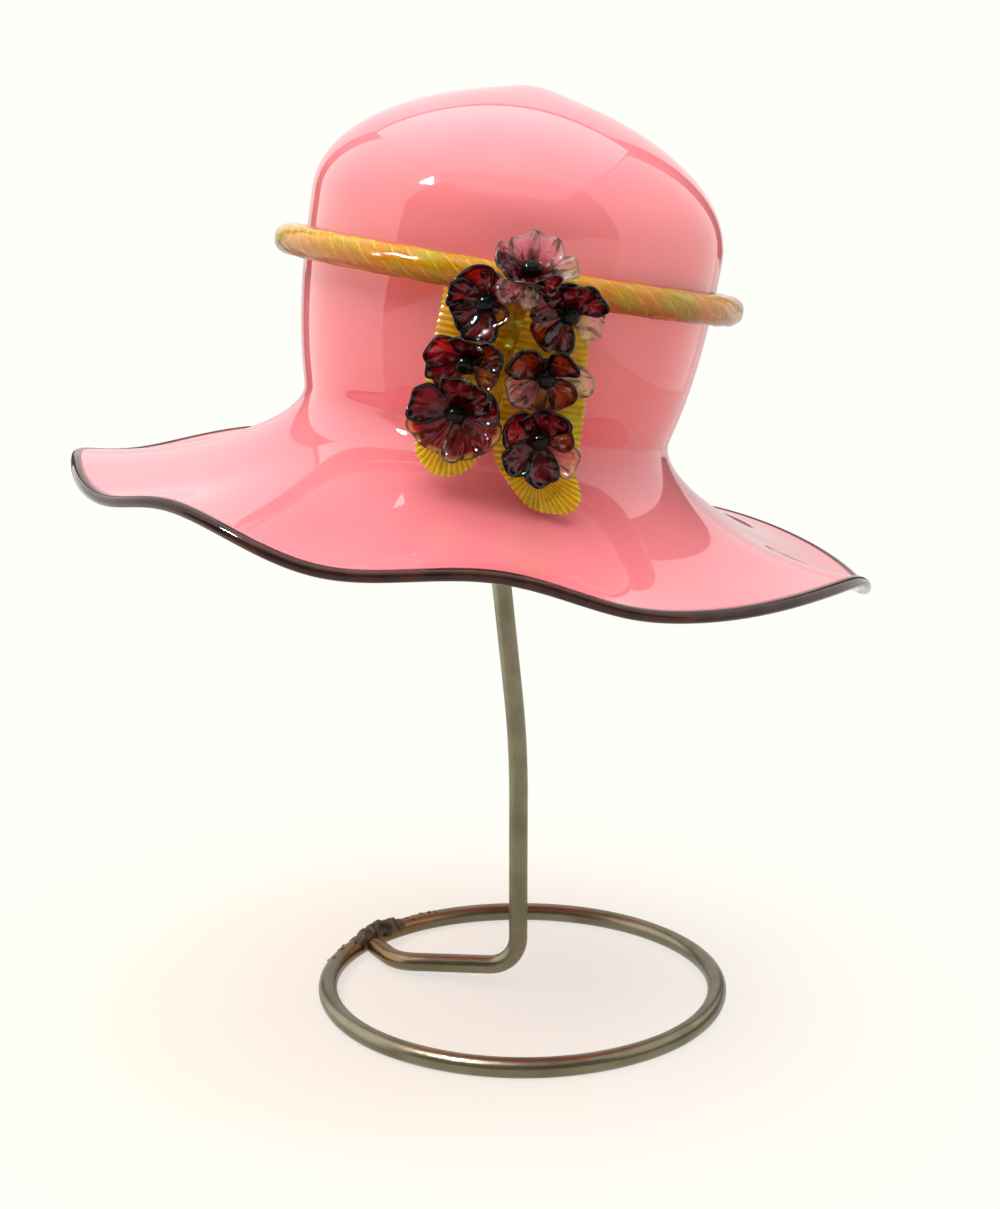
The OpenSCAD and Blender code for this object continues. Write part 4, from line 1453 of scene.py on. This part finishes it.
def bud(settings, name, x, down, out, turn, up, finish):
    """Drop on a thin stalk that runs back to the centre leaf."""
    hat, corsage = settings.hat, settings.corsage
    r, size = corsage.bud_r, corsage.flower_r
    back = back_place(hat, corsage)
    centre = np.array([x * size, back - out * size, corsage.band_h - down * size])
    n_y = -math.cos(math.radians(turn)) * math.cos(math.radians(up))
    reach = (STALK * r + corsage.bond + centre[1] - back) / n_y
    ring = circle(24)
    rings = [ring * w * r + (0, 0, h * r) for w, h in BUD_SHAPE]
    rings += [ring * STALK * r + (0, 0, STALK_START * r), ring * STALK * r + (0, 0, -reach)]
    rings += [ring * 0.32 * r + (0, 0, -reach - 0.38 * r)]
    mesh = skin((0, 0, BUD_POINT * r), rings, (0, 0, -reach - STALK * r))
    place = Matrix.Translation(centre) @ Matrix.Rotation(math.radians(turn), 4, "Z")
    place = place @ Matrix.Rotation(math.radians(90 - up), 4, "X")
    hat_piece(hat, f"bud_{name}_drop", mesh, finish, "green_glass", f"bud_{name}", place=place)


class HAT_OT_stage(bpy.types.Operator):
    """Pale floor, light tent, lamps and camera"""

    bl_idname = "glass_hat.stage"
    bl_label = "Stage"

    def execute(self, context):
        stage = context.scene.glass_hat.stage
        context.scene.view_settings.view_transform = "Standard"
        floor(stage)
        tent(stage)
        world(context.scene, stage)
        lamps()
        camera(context.scene, stage)
        return {"FINISHED"}


def stage_mesh(name, corners, material):
    """Flat sheet that belongs to the stage."""
    mesh = bpy.data.meshes.new(name)
    mesh.from_pydata(corners, [], [tuple(range(len(corners)))])
    mesh.materials.append(material)
    made = bpy.data.objects.new(name, mesh)
    bpy.context.scene.collection.objects.link(made)
    return made


# Floor: radius, place of its middle across, distances at which it starts and ends to fade into the white
# round it, and share of that white at each
FLOOR_R = 4.0
FLOOR_X = -0.06
FLOOR_FADE = (0.06, 0.25, 0.66, 1.0)


def floor(stage):
    """Round pale floor that keeps the shadow near the object and fades into the white round it."""
    steps = 96
    rim = [polar(FLOOR_R, 2 * math.pi * i / steps, 0.0) for i in range(steps)]
    material = bpy.data.materials.new("pale_floor")
    made = Nodes(material)
    made.nodes.clear()
    lit = made.node("ShaderNodeBsdfDiffuse", {"Color": (*stage.floor, 1)}).outputs["BSDF"]
    plain = made.node("ShaderNodeEmission", {"Color": (*stage.backdrop, 1)}).outputs["Emission"]
    at = made.node("ShaderNodeTexCoord").outputs["Object"]
    away = made.node("ShaderNodeVectorMath", {0: at}, operation="LENGTH").outputs["Value"]
    path = made.node("ShaderNodeLightPath").outputs
    seen = made.maths("MAXIMUM", path["Is Camera Ray"], path["Is Transmission Ray"])
    seen = made.maths("MAXIMUM", seen, path["Is Glossy Ray"])
    share = made.maths("MULTIPLY", made.between(away, *FLOOR_FADE), seen)
    made.node("ShaderNodeOutputMaterial", {"Surface": made.choose(share, lit, plain)})
    stage_mesh("floor", rim, material).location.x = FLOOR_X


def glow(name, colour, strength):
    """Material that only shines."""
    material = bpy.data.materials.new(name)
    made = Nodes(material)
    made.nodes.clear()
    light = made.node("ShaderNodeEmission", {"Color": (*colour, 1), "Strength": strength})
    made.node("ShaderNodeOutputMaterial", {"Surface": light.outputs["Emission"]})
    return material


# Colour of the tent's sheets, and how bright each one is
SHEET_COLOUR = (1.0, 0.98, 0.96)
SHEET_GLOW = {
    "ceiling": 2.1, "left": 1.95, "ground": 0.15, "flap": 1.2, "right": 1.5, "back_low": 0.8, "back": 1.02,
}
# Gap under the ceiling, lift of the dark ground off the floor, and the ground's two far corners
SHEET_GAP = 0.006
GROUND_LIFT = 0.001
GROUND_FAR = ((-1.6, 4.0), (-4.0, 2.0))
# Window: height, corners from its place in the tent's left front corner, and brightness
WINDOW_Z = 0.545
WINDOW = ((0.0, 0.022, -0.045), (0.015, 0.0, 0.055), (0.036, -0.01, -0.037))
WINDOW_GLOW = 1500.0


def tent(stage):
    """White sheets of an open-fronted light tent, which only the gloss of the object sees."""
    w, front, back, top = stage.tent_w, -stage.tent_front, stage.tent_back, stage.tent_top
    left, right, step = -stage.back_left, stage.back_right, stage.back_step
    start, fore, rise, end = -stage.left_front, -stage.left_fore, stage.left_rise, stage.left_end

    def level(x0, x1, y0, y1):
        return [(x0, y0, top), (x1, y0, top), (x1, y1, top), (x0, y1, top)]

    def upright(x0, x1, z0, z1):
        return [(x0, back, z0), (x1, back, z0), (x1, back, z1), (x0, back, z1)]

    low, foot, stop = top - SHEET_GAP, stage.right_foot, stage.right_end
    ground = ((-w, end), (left, back), *GROUND_FAR)
    sheets = {
        "ceiling": level(-w, w, front, back - stage.tent_gap),
        "left": [(-w, start, 0), (-w, end, 0), (-w, end, low), (-w, fore, low), (-w, start, rise)],
        "ground": [(x, y, GROUND_LIFT) for x, y in ground],
        "flap": level(-w, w, -stage.tent_flap, front),
        "right": [(w, front, foot), (w, stop, foot), (w, stop, low), (w, front, low)],
        "back_low": upright(left, right, 0, step),
        "back": upright(-w, right, step, top),
    }
    for name, corners in sheets.items():
        only_gloss(stage_mesh(f"tent_{name}", corners, glow(f"tent_{name}", SHEET_COLOUR, SHEET_GLOW[name])))
    panes = [Vector((-w, front, WINDOW_Z)) + Vector(p) for p in WINDOW]
    only_gloss(stage_mesh("tent_window", panes, glow("tent_window", (1.0, 1.0, 1.0), WINDOW_GLOW)))


def only_gloss(sheet):
    """Hides a sheet from all but reflections."""
    for ray in ("camera", "diffuse", "transmission", "shadow", "volume_scatter"):
        setattr(sheet, f"visible_{ray}", False)


# Colour and strength of the plain light all round, and of the dim room in the gloss
PLAIN_LIGHT = ((1.0, 0.99, 0.97), 0.36)
ROOM_LIGHT = ((0.88, 0.84, 0.74), 0.18)


def world(scene, stage):
    """White for the camera and through glass, a dim room for gloss, and plain light for the rest."""
    scene.world = bpy.data.worlds.new("studio")
    made = Nodes(scene.world)
    made.nodes.clear()
    levels = []
    for colour, strength in (PLAIN_LIGHT, ROOM_LIGHT, (stage.backdrop, 1.0)):
        level = made.node("ShaderNodeBackground", {"Color": (*colour, 1), "Strength": strength})
        levels.append(level.outputs["Background"])
    plain, room, white = levels
    path = made.node("ShaderNodeLightPath").outputs
    clear = made.maths("MAXIMUM", path["Is Camera Ray"], path["Is Transmission Ray"])
    lit = made.choose(path["Is Glossy Ray"], plain, room)
    made.node("ShaderNodeOutputWorld", {"Surface": made.choose(clear, lit, white)})


# Lamps: name, place, size and power
LAMPS = (("lamp_top", (-0.15, -0.1, 1.2), 1.6, 29.0), ("lamp_front", (0.5, -1.2, 0.6), 1.2, 0.5))
LAMP_TARGET = (0.0, 0.0, 0.2)


def lamps():
    """Broad lamp overhead and a weaker one in front, both soft and unseen in the gloss."""
    for name, place, size, power in LAMPS:
        data = bpy.data.lights.new(name, "AREA")
        data.shape = "SQUARE"
        data.size = size
        data.energy = power
        lamp = bpy.data.objects.new(name, data)
        lamp.location = place
        lamp.rotation_euler = (Vector(LAMP_TARGET) - Vector(place)).to_track_quat("-Z", "Y").to_euler()
        lamp.visible_glossy = False
        lamp.visible_camera = False
        lamp.visible_transmission = False
        bpy.context.scene.collection.objects.link(lamp)


def camera(scene, stage):
    """Camera at the picture's place and lens."""
    data = bpy.data.cameras.new("camera")
    data.sensor_width = 36.0
    data.lens = data.sensor_width * stage.focal_px / max(PHOTO_W, PHOTO_H)
    made = bpy.data.objects.new("camera", data)
    made.location = (stage.camera_x, -stage.camera_y, stage.camera_z)
    made.rotation_euler = (math.pi / 2 - stage.camera_pitch, 0.0, 0.0)
    data.clip_start = 0.01
    data.clip_end = 50.0
    scene.collection.objects.link(made)
    scene.camera = made


class HAT_PT_panel(bpy.types.Panel):
    """Sizes, colours and builders of the glass hat"""

    bl_idname = "HAT_PT_panel"
    bl_label = "Glass hat"
    bl_space_type = "VIEW_3D"
    bl_region_type = "UI"
    bl_category = "Glass hat"

    def draw(self, context):
        settings = context.scene.glass_hat
        for operator in OPERATORS:
            self.layout.operator(operator.bl_idname)
        for group in (settings.stand, settings.hat, settings.corsage, settings.finish, settings.stage):
            box = self.layout.box()
            for name in group.__annotations__:
                box.prop(group, name)


OPERATORS = (
    HAT_OT_stand, HAT_OT_hat, HAT_OT_hatband, HAT_OT_leaves, HAT_OT_flowers, HAT_OT_buds, HAT_OT_stage,
)
GROUPS = (StandSizes, HatSizes, CorsageSizes, Finishes, StageSettings, GlassHatSettings)


def register():
    for made in (*GROUPS, *OPERATORS, HAT_PT_panel):
        bpy.utils.register_class(made)
    bpy.types.Scene.glass_hat = PointerProperty(type=GlassHatSettings)


def unregister():
    del bpy.types.Scene.glass_hat
    for made in reversed((*GROUPS, *OPERATORS, HAT_PT_panel)):
        bpy.utils.unregister_class(made)


def main():
    register()
    bpy.ops.glass_hat.stand()
    bpy.ops.glass_hat.hat()
    bpy.ops.glass_hat.hatband()
    bpy.ops.glass_hat.leaves()
    bpy.ops.glass_hat.flowers()
    bpy.ops.glass_hat.buds()
    bpy.ops.glass_hat.stage()


if __name__ == "__main__":
    main()
